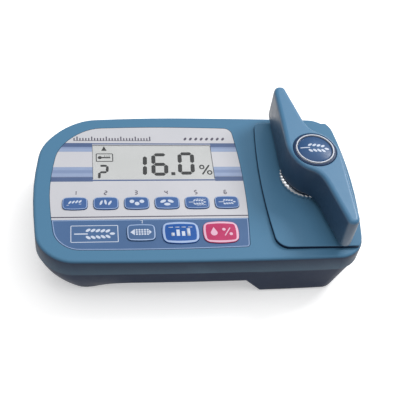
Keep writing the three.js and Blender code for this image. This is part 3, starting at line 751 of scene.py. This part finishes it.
def lowerShell(inset, above=0.0):
    low, high, radii = caseCorners(case["step"] + inset, shellLow.z, seamZ)
    bm = roundedBlock(low, high, radii, 12)
    soften(bm, rimEdges(bm, low[2]), case["bottomEdge"], 5)
    cutAcross(bm, 0, evenly(low[0], high[0], 35) + list(case["blockDrop"]))
    cutAcross(bm, 1, evenly(low[1], high[1], 9))
    cutAcross(bm, 2, evenly(low[2] + case["bottomEdge"], high[2], 7))
    bowSides(bm, low, high, case["bow"])
    easeBackLeft(bm, *case["ease"])
    full = high[2] - low[2]
    for v in bm.verts:
        down = (high[2] - v.co.z) / full
        x = v.co.x
        v.co.z = high[2] - down * depthBelowSeam(x, inset) + (above if down < 1e-4 else 0)
        skid = 1 - smoothStep(x, *case["skidNarrow"])
        v.co.y *= 1 - case["skidDraw"] * down * down * skid
        left, right = case["leftEnd"], case["rightEnd"]
        v.co.x += left["lean"] * clamp((left["from"] - x) / left["reach"]) * down ** 1.7
        v.co.x -= right["lean"] * clamp((x - right["from"]) / right["reach"]) * down
    return bm


def makeBottomCase():
    shell = makeObject("bottom_shell", lowerShell(0))
    carve(shell, lowerShell(case["wall"], above=3))
    head, headEnd = case["screwHead"]
    shank, shankEnd = case["screwShank"]
    bore = [(0, -1), (head, -1), (head, headEnd), (shank, headEnd), (shank, shankEnd), (0, shankEnd)]
    radius, ceiling = case["footPocket"]
    posts, bores, pockets = [], [], []
    for i in range(1, 5):
        at = middle(f"case_screw_{i}")
        floorZ = seamZ - depthBelowSeam(at.x, 0)
        posts.append(plug(case["screwPost"], floorZ + 0.6, seamZ - 0.4, at.x, at.y, 28))
        bores.append(turnedMesh(bore, at.x, at.y, 26))
        at = middle(f"rubber_foot_{i}")
        pockets.append(plug(radius, -1, ceiling, at.x, at.y, 36))
    play = case["slotPlay"]
    slot = blockMesh(
        (case["slotStart"], dishLow.y - play, dishLow.z - play),
        (lidHigh.x + 3, dishHigh.y + play, dishHigh.z + play),
    )
    hatch = roundedBlock(
        (doorLow.x + 1.6, doorLow.y - 0.4, 10), (doorHigh.x - 1.6, doorHigh.y + 0.7, 18), 0.8, 3
    )
    sockets = blockMesh(
        (doorLow.x - 0.4, doorHigh.y - 2.2, 12.7), (doorHigh.x + 0.4, doorHigh.y + 0.4, 18)
    )
    weld(shell, *posts)
    carve(shell, *bores)
    carve(shell, *pockets, slot, hatch)
    carve(shell, sockets)
    return settle(shell, "case", "case_abs", ["bottom_case"])


makeTopCase()
print("top case done")
makeBottomCase()
print("bottom case done")


# flat print shapes, drawn at z 0 and raised into thin ink afterwards
def placed(x, y, width=1.0, height=1.0, turn=0.0):
    return (
        Matrix.Translation((x, y, 0))
        @ Matrix.Rotation(math.radians(turn), 4, "Z")
        @ Matrix.Diagonal((width, height, 1, 1))
    )


def leaning(x, y, lean):
    shear = Matrix.Identity(4)
    shear[0][1] = lean
    return Matrix.Translation((x, y, 0)) @ shear


def oval(bm, at, x, y, width, height, turn=0, steps=14):
    verts = bmesh.ops.create_circle(bm, cap_ends=True, segments=steps, radius=0.5)["verts"]
    bmesh.ops.transform(bm, matrix=at @ placed(x, y, width, height, turn), verts=verts)
    return verts[0].link_faces[0]


def bar(bm, at, x, y, width, height, turn=0):
    verts = bmesh.ops.create_grid(bm, x_segments=1, y_segments=1, size=0.5)["verts"]
    bmesh.ops.transform(bm, matrix=at @ placed(x, y, width, height, turn), verts=verts)
    return verts[0].link_faces[0]


def plate(bm, at, x, y, width, height, radius):
    face = bar(bm, at, x, y, width, height)
    made = bmesh.ops.bevel(
        bm, geom=face.verts[:], offset=radius, affect="VERTICES", segments=5, profile=0.5, material=-1
    )
    return made["verts"][0].link_faces[0]


def hollow(bm, face, line):
    bmesh.ops.inset_individual(bm, faces=[face], thickness=line, use_even_offset=True)
    bmesh.ops.delete(bm, geom=[face], context="FACES_ONLY")


def polygon(bm, at, points):
    return bm.faces.new([bm.verts.new(at @ Vector((x, y, 0))) for x, y in points])


inkThick = 0.04
digitSegments = {
    "0": "abcdef", "1": "bc", "2": "abged", "3": "abgcd", "4": "fgbc",
    "5": "afgcd", "6": "afgedc", "7": "abc",
}


def segmentSign(bm, at, width, height, line, lit):
    across, tall = width - line, height - line
    layout = {
        "a": (0, tall / 2, 0), "g": (0, 0, 0), "d": (0, -tall / 2, 0),
        "f": (-across / 2, tall / 4, 90), "b": (across / 2, tall / 4, 90),
        "e": (-across / 2, -tall / 4, 90), "c": (across / 2, -tall / 4, 90),
    }
    for name in lit:
        x, y, turn = layout[name]
        reach = (across if turn == 0 else tall / 2) / 2 - 0.12 * line
        square = reach - 0.42 * line
        points = [
            (-reach, 0), (-square, -line / 2), (square, -line / 2),
            (reach, 0), (square, line / 2), (-square, line / 2),
        ]
        polygon(bm, at @ placed(x, y, 1, 1, turn), points)


def printInk(name, bm, surface, body, slotName, material):
    # surface gives the height of the printed face at a place
    thicken(bm, inkThick)
    for v in bm.verts:
        v.co.z += surface(v.co.x, v.co.y)
    return settle(makeObject(name, bm), body, slotName, [], [material], 40)


# pictograms, each about ten by five millimetres and lying along +X
def grainEar(bm, at, length, width, rows, awns=False):
    step = length * 0.62 / rows
    first = -length / 2 + length * 0.34
    bar(bm, at, -length / 2 + length * 0.16, 0, length * 0.34, width * 0.09)
    for i in range(rows):
        x = first + i * step
        spread = width * (0.3 - 0.09 * i / rows)
        for side in (1, -1):
            oval(bm, at, x, side * spread, step * 1.15, width * 0.2, side * 36)
            if awns:
                y = side * (spread + width * 0.22)
                bar(bm, at, x + step, y, step * 1.1, width * 0.06, side * 20)
    oval(bm, at, first + rows * step - step * 0.1, 0, step * 1.1, width * 0.2)


def paddySprig(bm, at):
    bar(bm, at, -0.6, -1.3, 9.5, 0.4, 6)
    for i in range(4):
        oval(bm, at, -3.2 + i * 2.2, 0.5 + i * 0.25, 2.9, 1.25, 52)


def riceKernels(bm, at):
    for x, y, turn in ((-3.1, 0.1, 68), (-0.3, 0.5, 100), (2.5, -0.1, 60)):
        oval(bm, at, x, y, 4.2, 1.5, turn)


def soyBeans(bm, at):
    for x, y in ((-3.1, 1.0), (0.2, -0.9), (3.4, 1.0)):
        oval(bm, at, x, y, 3.1, 2.9)


def redBeans(bm, at):
    for x, y, turn in ((-2.6, 0.9, 25), (2.4, 0.9, -25), (0, -1.6, 0)):
        oval(bm, at, x, y, 4.2, 2.3, turn)


def barleyEar(bm, at):
    grainEar(bm, at, 11, 5, 4, awns=True)


def wheatEar(bm, at):
    grainEar(bm, at, 11, 5.2, 4)


def maizeCob(bm, at):
    for row in range(3):
        for i in range(5):
            oval(bm, at, -2.9 + i * 1.75, -1.7 + row * 1.7, 1.4, 1.35)
    polygon(bm, at, [(-7, 0), (-4.2, -2.5), (-4.0, 2.5)])
    polygon(bm, at, [(6.6, 0), (5.0, 1.8), (5.0, -1.8)])


def meanBars(bm, at):
    for x, height in ((-5.2, 2.6), (-1.8, 5.0), (1.6, 3.6), (5.0, 6.0)):
        bar(bm, at, x, -3 + height / 2, 2.1, height)
    for i in range(4):
        bar(bm, at, -6.3 + i * 4.2, 4.0, 2.9, 0.55)


def moistureDrop(bm, at):
    points = []
    for i in range(15):
        angle = math.radians(140 + i * 260 / 14)
        points.append((2.2 * math.cos(angle), 2.2 * math.sin(angle) - 0.8))
    polygon(bm, at @ placed(-4.6, 0), points + [(0.0, 3.8)])
    oval(bm, at, 2.0, 1.8, 2.3, 2.3)
    oval(bm, at, 6.4, -1.8, 2.3, 2.3)
    bar(bm, at, 4.2, 0, 7.4, 0.7, 58)


# printed label

def keyOutline(node, grow, z0, z1):
    low, high = span(node)
    look = keyLooks.get(node, keyLooks["grain"])
    draw = look["bow"] - grow - look.get("grow", 0)
    return (low.x + draw, low.y + draw, z0), (high.x - draw, high.y - draw, z1), look


def keyCutter(node):
    low, high, look = keyOutline(node, 0.18, labelLow.z - 1, labelHigh.z + 1)
    bm = roundedBlock(low, high, look["corner"], 5)
    bowSides(bm, low, high, look["bow"], (5, 3))
    return bm


def labelMaterialAt(x, y):
    if y < label["navyBelow"]:
        return 1
    if label["greyRule"][0] < y < label["greyRule"][1]:
        return 4
    if paneLow.x < x < paneHigh.x:
        return 2 if any(low < y < high for low, high in label["windowRules"]) else 0
    if any(low < y < high for low, high in label["darkStripes"]):
        return 2
    if any(low < y < high for low, high in label["ruledStripes"]):
        return 3
    return 0


def makeLabel():
    materials = [filmWhite, filmNavy, inkDark, ruledInk, inkGrey]
    film = makeObject("keypad_label", labelBlock(0, labelLow.z, labelHigh.z))
    windowHole = roundedBlock(
        (paneLow.x - 0.03, paneLow.y - 0.03, labelLow.z - 1),
        (paneHigh.x + 0.03, paneHigh.y + 0.03, labelHigh.z + 1), 0.5, 4,
    )
    carve(film, windowHole, *[keyCutter(node) for node in keyNodes])
    bm = bmesh.new()
    bm.from_mesh(film.data)
    lines = {label["navyBelow"], *label["greyRule"]}
    for group in ("windowRules", "darkStripes", "ruledStripes"):
        for pair in label[group]:
            lines.update(pair)
    cutAcross(bm, 1, sorted(lines))
    cutAcross(bm, 0, [paneLow.x, paneHigh.x])
    for face in bm.faces:
        centre = face.calc_center_median()
        if face.normal.z > 0.5:
            face.material_index = labelMaterialAt(centre.x, centre.y)
    bm.to_mesh(film.data)
    bm.free()
    return settle(film, "case", "label_film", ["keypad_overlay"], materials)


def onLabel(x, y):
    return labelHigh.z + 0.005


def makeBandOutline():
    # a hairline that follows the edge of the navy band, just inside it
    bm = labelBlock(-0.4, 0, 1)
    below = [f for f in bm.faces if f.normal.z < 0.9]
    bmesh.ops.delete(bm, geom=below, context="FACES")
    bmesh.ops.translate(bm, vec=(0, 0, -1), verts=bm.verts)
    bmesh.ops.bisect_plane(
        bm, geom=bm.verts[:] + bm.edges[:] + bm.faces[:], dist=1e-5,
        plane_co=(0, label["navyBelow"] - 0.5, 0), plane_no=(0, 1, 0), clear_outer=True,
    )
    merged = bmesh.ops.dissolve_faces(bm, faces=bm.faces[:], use_verts=False)
    hollow(bm, merged["region"][0], 0.36)
    printInk("band_outline_ink", bm, onLabel, "case", "label_film", inkPale)


def makeLabelPrint():
    grey = bmesh.new()
    here = Matrix.Identity(4)
    scale = label["scale"]
    pitch = (scale["right"] - scale["left"]) / (scale["marks"] - 1)
    for i in range(scale["marks"]):
        tall = scale["tall"] if i % 5 == 1 else scale["tall"] * 0.62
        bar(grey, here, scale["left"] + i * pitch, scale["y"] + tall / 2 - 1.9, 0.85, tall)
    reach = scale["right"] - scale["left"]
    bar(grey, here, scale["left"] + reach / 2, scale["y"] - 2.2, reach + 0.85, 0.4)
    dots = label["dots"]
    pitch = (dots["right"] - dots["left"]) / (dots["marks"] - 1)
    for i in range(dots["marks"]):
        x, size = dots["left"] + i * pitch, dots["size"]
        oval(grey, here, x, dots["y"], size * 1.5, size * 0.85, 58)
    for i in range(6):
        at = middle(f"grain_key_{i + 1}")
        segmentSign(grey, leaning(at.x, -7.3, 0.06), 2.3, 3.8, 0.68, digitSegments[str(i + 1)])
    printInk("label_grey_ink", grey, onLabel, "case", "label_film", inkGrey)

    pale = bmesh.new()
    emblem = label["emblem"]
    hollow(pale, plate(pale, here, emblem["x"], emblem["y"], emblem["wide"], emblem["tall"], 0.8), 0.5)
    grainEar(pale, placed(emblem["x"], emblem["y"]), 25, 9.6, 5)
    seventh = middle("grain_key_7")
    segmentSign(pale, leaning(seventh.x + 0.3, -31.9, 0.06), 2.2, 3.4, 0.6, digitSegments["7"])
    printInk("label_pale_ink", pale, onLabel, "case", "label_film", inkWhite)
    makeBandOutline()


# keys
keyLooks = {
    "grain": {
        "bow": 0.6, "corner": 1.9, "rim": 0.35,
        "materials": [keyNavy, inkPale], "ink": inkWhite, "slot": "key_film",
    },
    "grain_key_7": {
        "bow": 0.6, "corner": 2.2, "rim": 0.6,
        "materials": [filmNavy, inkPale], "ink": inkWhite, "slot": "band_key_film",
    },
    "average_key": {
        "bow": 1.2, "grow": 0.7, "corner": 2.8, "rim": 1.35,
        "materials": [keyBlue, inkPale], "ink": inkWhite, "slot": "average_key_film",
    },
    "measure_key": {
        "bow": 1.2, "grow": 0.7, "corner": 2.8, "rim": 1.3,
        "materials": [keyRed, inkPink], "ink": inkPink, "slot": "measure_key_film",
    },
}
keySigns = {
    "grain_key_1": paddySprig, "grain_key_2": riceKernels, "grain_key_3": soyBeans,
    "grain_key_4": redBeans, "grain_key_5": barleyEar, "grain_key_6": wheatEar,
    "grain_key_7": maizeCob, "average_key": meanBars, "measure_key": moistureDrop,
}
keyDome = 0.3
padDepth = 1.15


def makeKey(node):
    nodeLow, nodeHigh = span(node)
    padBottom = nodeHigh.z - padDepth
    flatTop = nodeHigh.z - keyDome
    low, high, look = keyOutline(node, 0, padBottom, flatTop)
    centre = (nodeLow + nodeHigh) / 2
    half = (nodeHigh - nodeLow) / 2
    bm = roundedBlock(low, high, look["corner"], 5)
    soften(bm, rimEdges(bm, flatTop), 0.28, 2)
    top = max(bm.faces, key=lambda f: f.calc_center_median().z + f.calc_area() * 1e-3)
    ring = bmesh.ops.inset_individual(bm, faces=[top], thickness=look["rim"], use_even_offset=True)
    for face in ring["faces"]:
        face.material_index = 1
    bowSides(bm, low, high, look["bow"], (7, 5))

    def domed(x, y):
        across = min(abs(x - centre.x) / half.x, 1)
        along = min(abs(y - centre.y) / half.y, 1)
        return keyDome * (1 - across * across) * (1 - along * along)

    for v in bm.verts:
        if v.co.z > flatTop - 0.02:
            v.co.z += domed(v.co.x, v.co.y)
    pad = makeObject(f"{node}_pad", bm)
    for material in look["materials"]:
        pad.data.materials.append(material)
    stem = [
        (0, nodeLow.z), (1.7, nodeLow.z), (1.9, nodeLow.z + 0.2),
        (1.9, padBottom + 0.3), (0, padBottom + 0.3),
    ]
    weld(pad, turnedMesh(stem, centre.x, centre.y, 20))
    settle(pad, f"{node}_press", look["slot"], [node], look["materials"], 28)

    def onKey(x, y):
        return flatTop + domed(x, y) + 0.005

    ink = bmesh.new()
    keySigns[node](ink, placed(centre.x, centre.y))
    printInk(f"{node}_ink", ink, onKey, f"{node}_press", look["slot"], look["ink"])


makeLabel()
makeLabelPrint()
for node in keyNodes:
    makeKey(node)
print("label and keys done")


# display
display = {
    "lean": 0.05,
    "digit": {"wide": 11.5, "tall": 20.6, "line": 2.8},
    "tens": (-38.7, 16.6),
    "units": (-24.1, 17.7),
    "point": (-15.4, 9.2, 2.7),
    "tenths": (-5.8, 18.6),
    "percent": (7.3, 12.7),
    "code": {"x": -62.7, "y": 10.7, "wide": 6.9, "tall": 13.4, "line": 1.75},
    "box": {"x": -61.6, "y": 24.0, "wide": 11.8, "tall": 7.6},
    "pointer": (-61.8, 32.3),
    "shift": (0.1, 0.4),
}


def makeDisplay():
    glassTop = span("lcd_glass")[1].z
    bm = bmesh.new()
    base = placed(*display["shift"])
    digit = display["digit"]
    for name, lit in (("tens", "1"), ("units", "6"), ("tenths", "0")):
        at = base @ leaning(*display[name], display["lean"])
        segmentSign(bm, at, digit["wide"], digit["tall"], digit["line"], digitSegments[lit])
    x, y, size = display["point"]
    bar(bm, base, x, y, size, size)
    x, y = display["percent"]
    for side in (-1, 1):
        hollow(bm, oval(bm, base, x + side * 2.5, y - side * 2.5, 3.8, 4.2, 0, 18), 0.95)
    bar(bm, base, x, y, 9.8, 1.15, 58)
    code = display["code"]
    at = base @ leaning(code["x"], code["y"], display["lean"])
    segmentSign(bm, at, code["wide"], code["tall"], code["line"], "abge")
    box = display["box"]
    hollow(bm, plate(bm, base, box["x"], box["y"], box["wide"], box["tall"], 0.9), 0.62)
    thermometer = base @ placed(box["x"], box["y"])
    oval(bm, thermometer, -3.2, 0, 2.8, 2.8)
    bar(bm, thermometer, 0.9, 0, 6.2, 1.1)
    for i in range(3):
        bar(bm, thermometer, 0.2 + i * 1.5, 1.4, 0.45, 1.0)
    x, y = display["pointer"]
    polygon(bm, base @ placed(x, y), [(-1.8, -1.9), (1.8, -1.9), (0, 2.4)])
    printInk("lcd_segments", bm, lambda x, y: glassTop + 0.002, "case", "display", segmentBlack)


def makePane():
    bm = roundedBlock(paneLow, paneHigh, 0.5, 5)
    soften(bm, rimEdges(bm, paneHigh.z), 0.08, 2)
    settle(makeObject("display_pane", bm), "case", "clear_pane", ["lcd_window"])


makeDisplay()
makePane()
print("display done")


# press handle
handleLook = {
    "spine": 18.4, "tip": 5, "edge": 3.0, "edgeSteps": 6, "bottomEdge": 1.4,
    "badge": 14.75, "badgeDepth": 1.6,
    "spindleBore": (8.1, 61.7),  # radius and top of the bore for the spindle
    "screwHole": (3, 64.5),
    "screwHead": 5.4,
}


def curve(points, steps):
    corners = [Vector((x, y, 0)) for x, y in points]
    if len(corners) == 3:
        start, bend, end = corners
        corners = [start, start + (bend - start) * 2 / 3, end + (bend - end) * 2 / 3, end]
    return [(v.x, v.y) for v in interpolate_bezier(*corners, steps)][1:]


def handleOutline():
    half = (handleHigh.y - handleLow.y) / 2
    spine, tip = handleLook["spine"], handleLook["tip"]
    side = [(-spine + tip, half)]
    side += curve([(-spine + tip, half), (-spine, half), (-spine, half - tip - 2)], 7)
    side += [(-spine, y) for y in evenly(half - tip - 2, 7, 5)] + [(-spine, 7)]
    side += curve([(-spine, 7), (-spine, -4), (-13, -14), (-5, -17.2)], 11)
    side += curve([(-5, -17.2), (0.5, -20), (2, -26), (3.6, -33)], 9)
    side += [(9.8, -half + 2.5)]
    side += curve([(9.8, -half + 2.5), (10.6, -half), (spine - tip, -half)], 5)
    whole = side[1:] + [(-x, -y) for x, y in side[1:]]
    return [(axisX + x, axisY + y) for x, y in whole]


def makeHandle():
    bm = prism(handleOutline(), handleLow.z, handleHigh.z)
    soften(bm, rimEdges(bm, handleHigh.z), handleLook["edge"], handleLook["edgeSteps"])
    soften(bm, rimEdges(bm, handleLow.z), handleLook["bottomEdge"], 3)
    wing = makeObject("press_handle", bm)
    top = handleHigh.z
    seat = top - handleLook["badgeDepth"]
    rim = handleLook["badge"]
    recess = turnedMesh(
        [(0, seat), (rim, seat), (rim, top - 0.3), (rim + 0.6, top + 0.3), (rim + 0.6, top + 1),
         (0, top + 1)],
        axisX, axisY, 72,
    )
    wide, wideEnd = handleLook["spindleBore"]
    slim, slimEnd = handleLook["screwHole"]
    head = handleLook["screwHead"]
    bore = turnedMesh(
        [(0, 40), (wide, 40), (wide, wideEnd), (slim, wideEnd), (slim, slimEnd), (head, slimEnd),
         (head, top), (0, top)],
        axisX, axisY, 48,
    )
    carve(wing, recess)
    carve(wing, bore)
    settle(wing, "turn_handle", "handle_abs", ["handle"])


badge = {"seat": 1.55, "rim": 14.6, "window": 11.5, "dome": 11.2, "domeEdge": 0.3, "domeRise": 1.5}


def domeZ(reach):
    return handleHigh.z + badge["domeEdge"] + badge["domeRise"] * (1 - (reach / badge["dome"]) ** 2)


def makeBadge():
    top = handleHigh.z
    seat = top - badge["seat"]
    rim, window = badge["rim"], badge["window"]
    ring = turnedMesh(
        [(window, seat), (rim, seat), (rim, top - 0.1), (rim - 0.3, top + 0.2), (13.1, top + 0.35),
         (12.95, top + 0.8), (12.6, top + 1.1), (12.1, top + 1.1), (window + 0.2, top + 0.8),
         (window, top + 0.3)],
        axisX, axisY, 72,
    )
    for face in ring.faces:
        reach = (face.calc_center_median().xy - Vector((axisX, axisY))).length
        face.material_index = 1 if reach > 13.05 else 0
    bezel = makeObject("badge_bezel", ring)
    settle(bezel, "turn_handle", "bright_chrome", ["badge_ring"], [satinChrome, badgeNavy], 50)
    skirt = badge["dome"] + 0.15
    dome = [(0, seat), (skirt, seat), (skirt, top + 0.2)]
    for i in range(9):
        reach = badge["dome"] * (1 - i / 8)
        dome.append((reach, domeZ(reach)))
    resinDome = makeObject("badge_dome", turnedMesh(dome, axisX, axisY, 72))
    settle(resinDome, "turn_handle", "badge_enamel", ["handle_badge"])

    def onDome(x, y):
        return domeZ(math.hypot(x - axisX, y - axisY)) + 0.01

    ink = bmesh.new()
    grainEar(ink, placed(axisX - 0.5, axisY, turn=-4), 18.5, 8.6, 4)
    cutAcross(ink, 0, evenly(axisX - 10, axisX + 10, 15))
    cutAcross(ink, 1, evenly(axisY - 5, axisY + 5, 7))
    printInk("badge_ink", ink, onDome, "turn_handle", "badge_enamel", inkWhite)


collar = {"bore": 9.7, "flutes": 40, "depth": 0.55, "stepsPerFlute": 6}


def makeCollar():
    low, high = collarLow.z, collarHigh.z
    outer = (collarHigh.x - collarLow.x) / 2
    bore = collar["bore"]
    profile = [
        (bore, low), (outer - 0.4, low), (outer, low + 0.4), (outer, high - 1.3),
        (outer - 0.5, high - 0.7), (outer - 1.8, high - 0.35), (outer - 3.2, high),
        (bore + 1.3, high), (bore, high - 0.5),
    ]
    bm = turnedMesh(profile, 0, 0, collar["flutes"] * collar["stepsPerFlute"])
    for v in bm.verts:
        reach = v.co.xy.length
        if reach > outer - 2:
            wave = 0.5 - 0.5 * math.cos(math.atan2(v.co.y, v.co.x) * collar["flutes"])
            v.co.xy *= 1 - collar["depth"] * wave / reach
    bmesh.ops.translate(bm, vec=(axisX, axisY, 0), verts=bm.verts)
    settle(makeObject("knurled_collar", bm), "case", "bright_chrome", ["collar_ring"], sharp=24)


makeHandle()
makeBadge()
makeCollar()
print("handle done")


# sample dish
dish = {
    "well": 16, "floor": 12.8,
    "end": 100, "lean": 0.45, "frontTop": 104.0,  # the front face leans back from its top edge
    "pull": (9, 13.6, 15.4),  # half width, bottom and top
    "pullStart": 98,
}


def dishFront(z):
    return dish["frontTop"] - (dishHigh.z - z) * dish["lean"]


def makeDish():
    half = (dishHigh.y - dishLow.y) / 2
    angles = [math.pi * i / 32 for i in range(33)]
    back = [(axisX - half * math.sin(a), axisY + half * math.cos(a)) for a in angles]
    front = [(dish["end"], axisY - half), (dish["end"], axisY + half)]
    bm = prism(back + front, dishLow.z, dishHigh.z)
    for v in bm.verts:
        if v.co.x > dish["end"] - 1:
            v.co.x = dishFront(v.co.z)
    soften(bm, rimEdges(bm, dishHigh.z), 0.5, 2)
    tray = makeObject("sample_drawer", bm)
    width, z0, z1 = dish["pull"]
    pull = roundedBlock(
        (dish["pullStart"], axisY - width, z0), (dishHigh.x, axisY + width, z1),
        (0.1, 1.6, 1.6, 0.1), 4,
    )
    soften(pull, rimEdges(pull, z1), 0.4, 2)
    radius, rim = dish["well"], dishHigh.z
    well = turnedMesh(
        [(0, dish["floor"]), (radius - 0.6, dish["floor"]), (radius, dish["floor"] + 0.6),
         (radius, rim - 0.8), (radius + 0.9, rim + 0.1), (radius + 0.9, rim + 1), (0, rim + 1)],
        axisX, axisY, 64,
    )
    weld(tray, pull)
    carve(tray, well)
    settle(tray, "dish_drawer", "dish_plastic", ["sample_dish"])


makeDish()


# battery door, feet
doorLook = {
    "hinge": (12.9, 14),  # y and z of the pins
    "corners": (1.5, 1.5, 0.4, 0.4),
    "edge": 0.4,
    "edgeCut": 2.2,
    "lug": 6,
    "ribs": 5, "ribPitch": 2.6, "ribWide": 1.2, "ribDeep": 0.8, "ribStart": 3,
    "grip": (-24, -11),
}


def makeDoor():
    hingeY, hingeZ = doorLook["hinge"]
    low, high = doorLow, Vector((doorHigh.x, hingeY - 0.5, doorHigh.z))
    bm = roundedBlock(low, high, doorLook["corners"], 4)
    soften(bm, rimEdges(bm, low.z), doorLook["edge"], 2)
    # cut fine near its edges, so that their wear stays on the edges
    near = doorLook["edgeCut"]
    cutAcross(bm, 0, [low.x + near, high.x - near] + evenly(low.x, high.x, 15))
    cutAcross(bm, 1, [low.y + near, high.y - near] + evenly(low.y, high.y, 13))
    cover = makeObject("battery_hatch", bm)
    lugs = []
    for x in (low.x + 2, high.x - 2 - doorLook["lug"]):
        lugs.append(blockMesh(
            (x, high.y - 0.5, hingeZ - 0.9), (x + doorLook["lug"], hingeY + 0.9, hingeZ + 0.9)
        ))
    weld(cover, *lugs)
    left, right = doorLook["grip"]
    grooves = []
    for i in range(doorLook["ribs"]):
        y = low.y + doorLook["ribStart"] + i * doorLook["ribPitch"]
        grooves.append(blockMesh(
            (left, y, low.z - 1), (right, y + doorLook["ribWide"], low.z + doorLook["ribDeep"])
        ))
    carve(cover, *grooves)
    settle(cover, "battery_cover", "case_abs", ["battery_door"])


def makeFoot(node):
    low, high = span(node)
    centre = (low + high) / 2
    outer = (high.x - low.x) / 2
    profile = [
        (0, 0.5), (3.0, 0.5), (3.5, 0.15), (4.0, 0), (5.2, 0),
        (outer - 0.3, 0.35), (outer, 0.9), (outer, high.z), (0, high.z),
    ]
    pad = makeObject(f"{node}_pad", turnedMesh(profile, centre.x, centre.y, 40))
    settle(pad, "case", "rubber", [node])


makeDoor()
for i in range(1, 5):
    makeFoot(f"rubber_foot_{i}")
print("dish, door and feet done")


# floor and light
studio = {
    "floor": "#f6f6f6",
    "floorGlow": 0.4,  # the sweep is lit from below, which keeps its shadows pale
    "sky": "#ffffff",
    "skyStrength": 0.42,
}


def makeFloor():
    bm = bmesh.new()
    bmesh.ops.create_grid(bm, x_segments=1, y_segments=1, size=4)
    floor = makeObject("floor", bm)
    material, place = startMaterial("seamless_paper")
    fibre = addNode(material, "TexNoise", {"Vector": place, "Scale": 40.0, "Detail": 3.0})
    finishMaterial(material, {
        "Base Color": layerColours(material, studio["floor"], [(fibre, 0.0, 1.0, 1.0, "#f2f2f2")]),
        "Roughness": 0.9, "Emission Color": "#ffffff", "Emission Strength": studio["floorGlow"],
    })
    floor.data.materials.append(material)


def addSoftbox(name, place, aim, size, power, colour="#ffffff"):
    lamp = bpy.data.lights.new(name, "AREA")
    lamp.shape = "RECTANGLE"
    lamp.size, lamp.size_y = size
    lamp.energy = power
    lamp.color = hexColour(colour)[:3]
    softbox = bpy.data.objects.new(name, lamp)
    softbox.location = place
    softbox.rotation_mode = "QUATERNION"
    softbox.rotation_quaternion = (Vector(aim) - Vector(place)).to_track_quat("-Z", "Y")
    bpy.context.scene.collection.objects.link(softbox)


def lightScene():
    world = bpy.data.worlds.new("studio")
    world.use_nodes = True
    sky = world.node_tree.nodes["Background"]
    sky.inputs["Color"].default_value = hexColour(studio["sky"])
    sky.inputs["Strength"].default_value = studio["skyStrength"]
    bpy.context.scene.world = world
    bpy.context.scene.view_settings.view_transform = "Standard"
    addSoftbox("key_softbox", (1.05, 0.65, 1.1), (0, 0, 0.03), (0.5, 0.5), 13)
    addSoftbox("top_softbox", (0.0, 0.1, 1.5), (0, 0, 0.03), (1.6, 1.6), 10.5)
    addSoftbox("sheen_softbox", (0.6, 0.85, 0.9), (0, 0, 0.03), (0.6, 0.6), 2.2)


makeFloor()
lightScene()
print("studio ready")
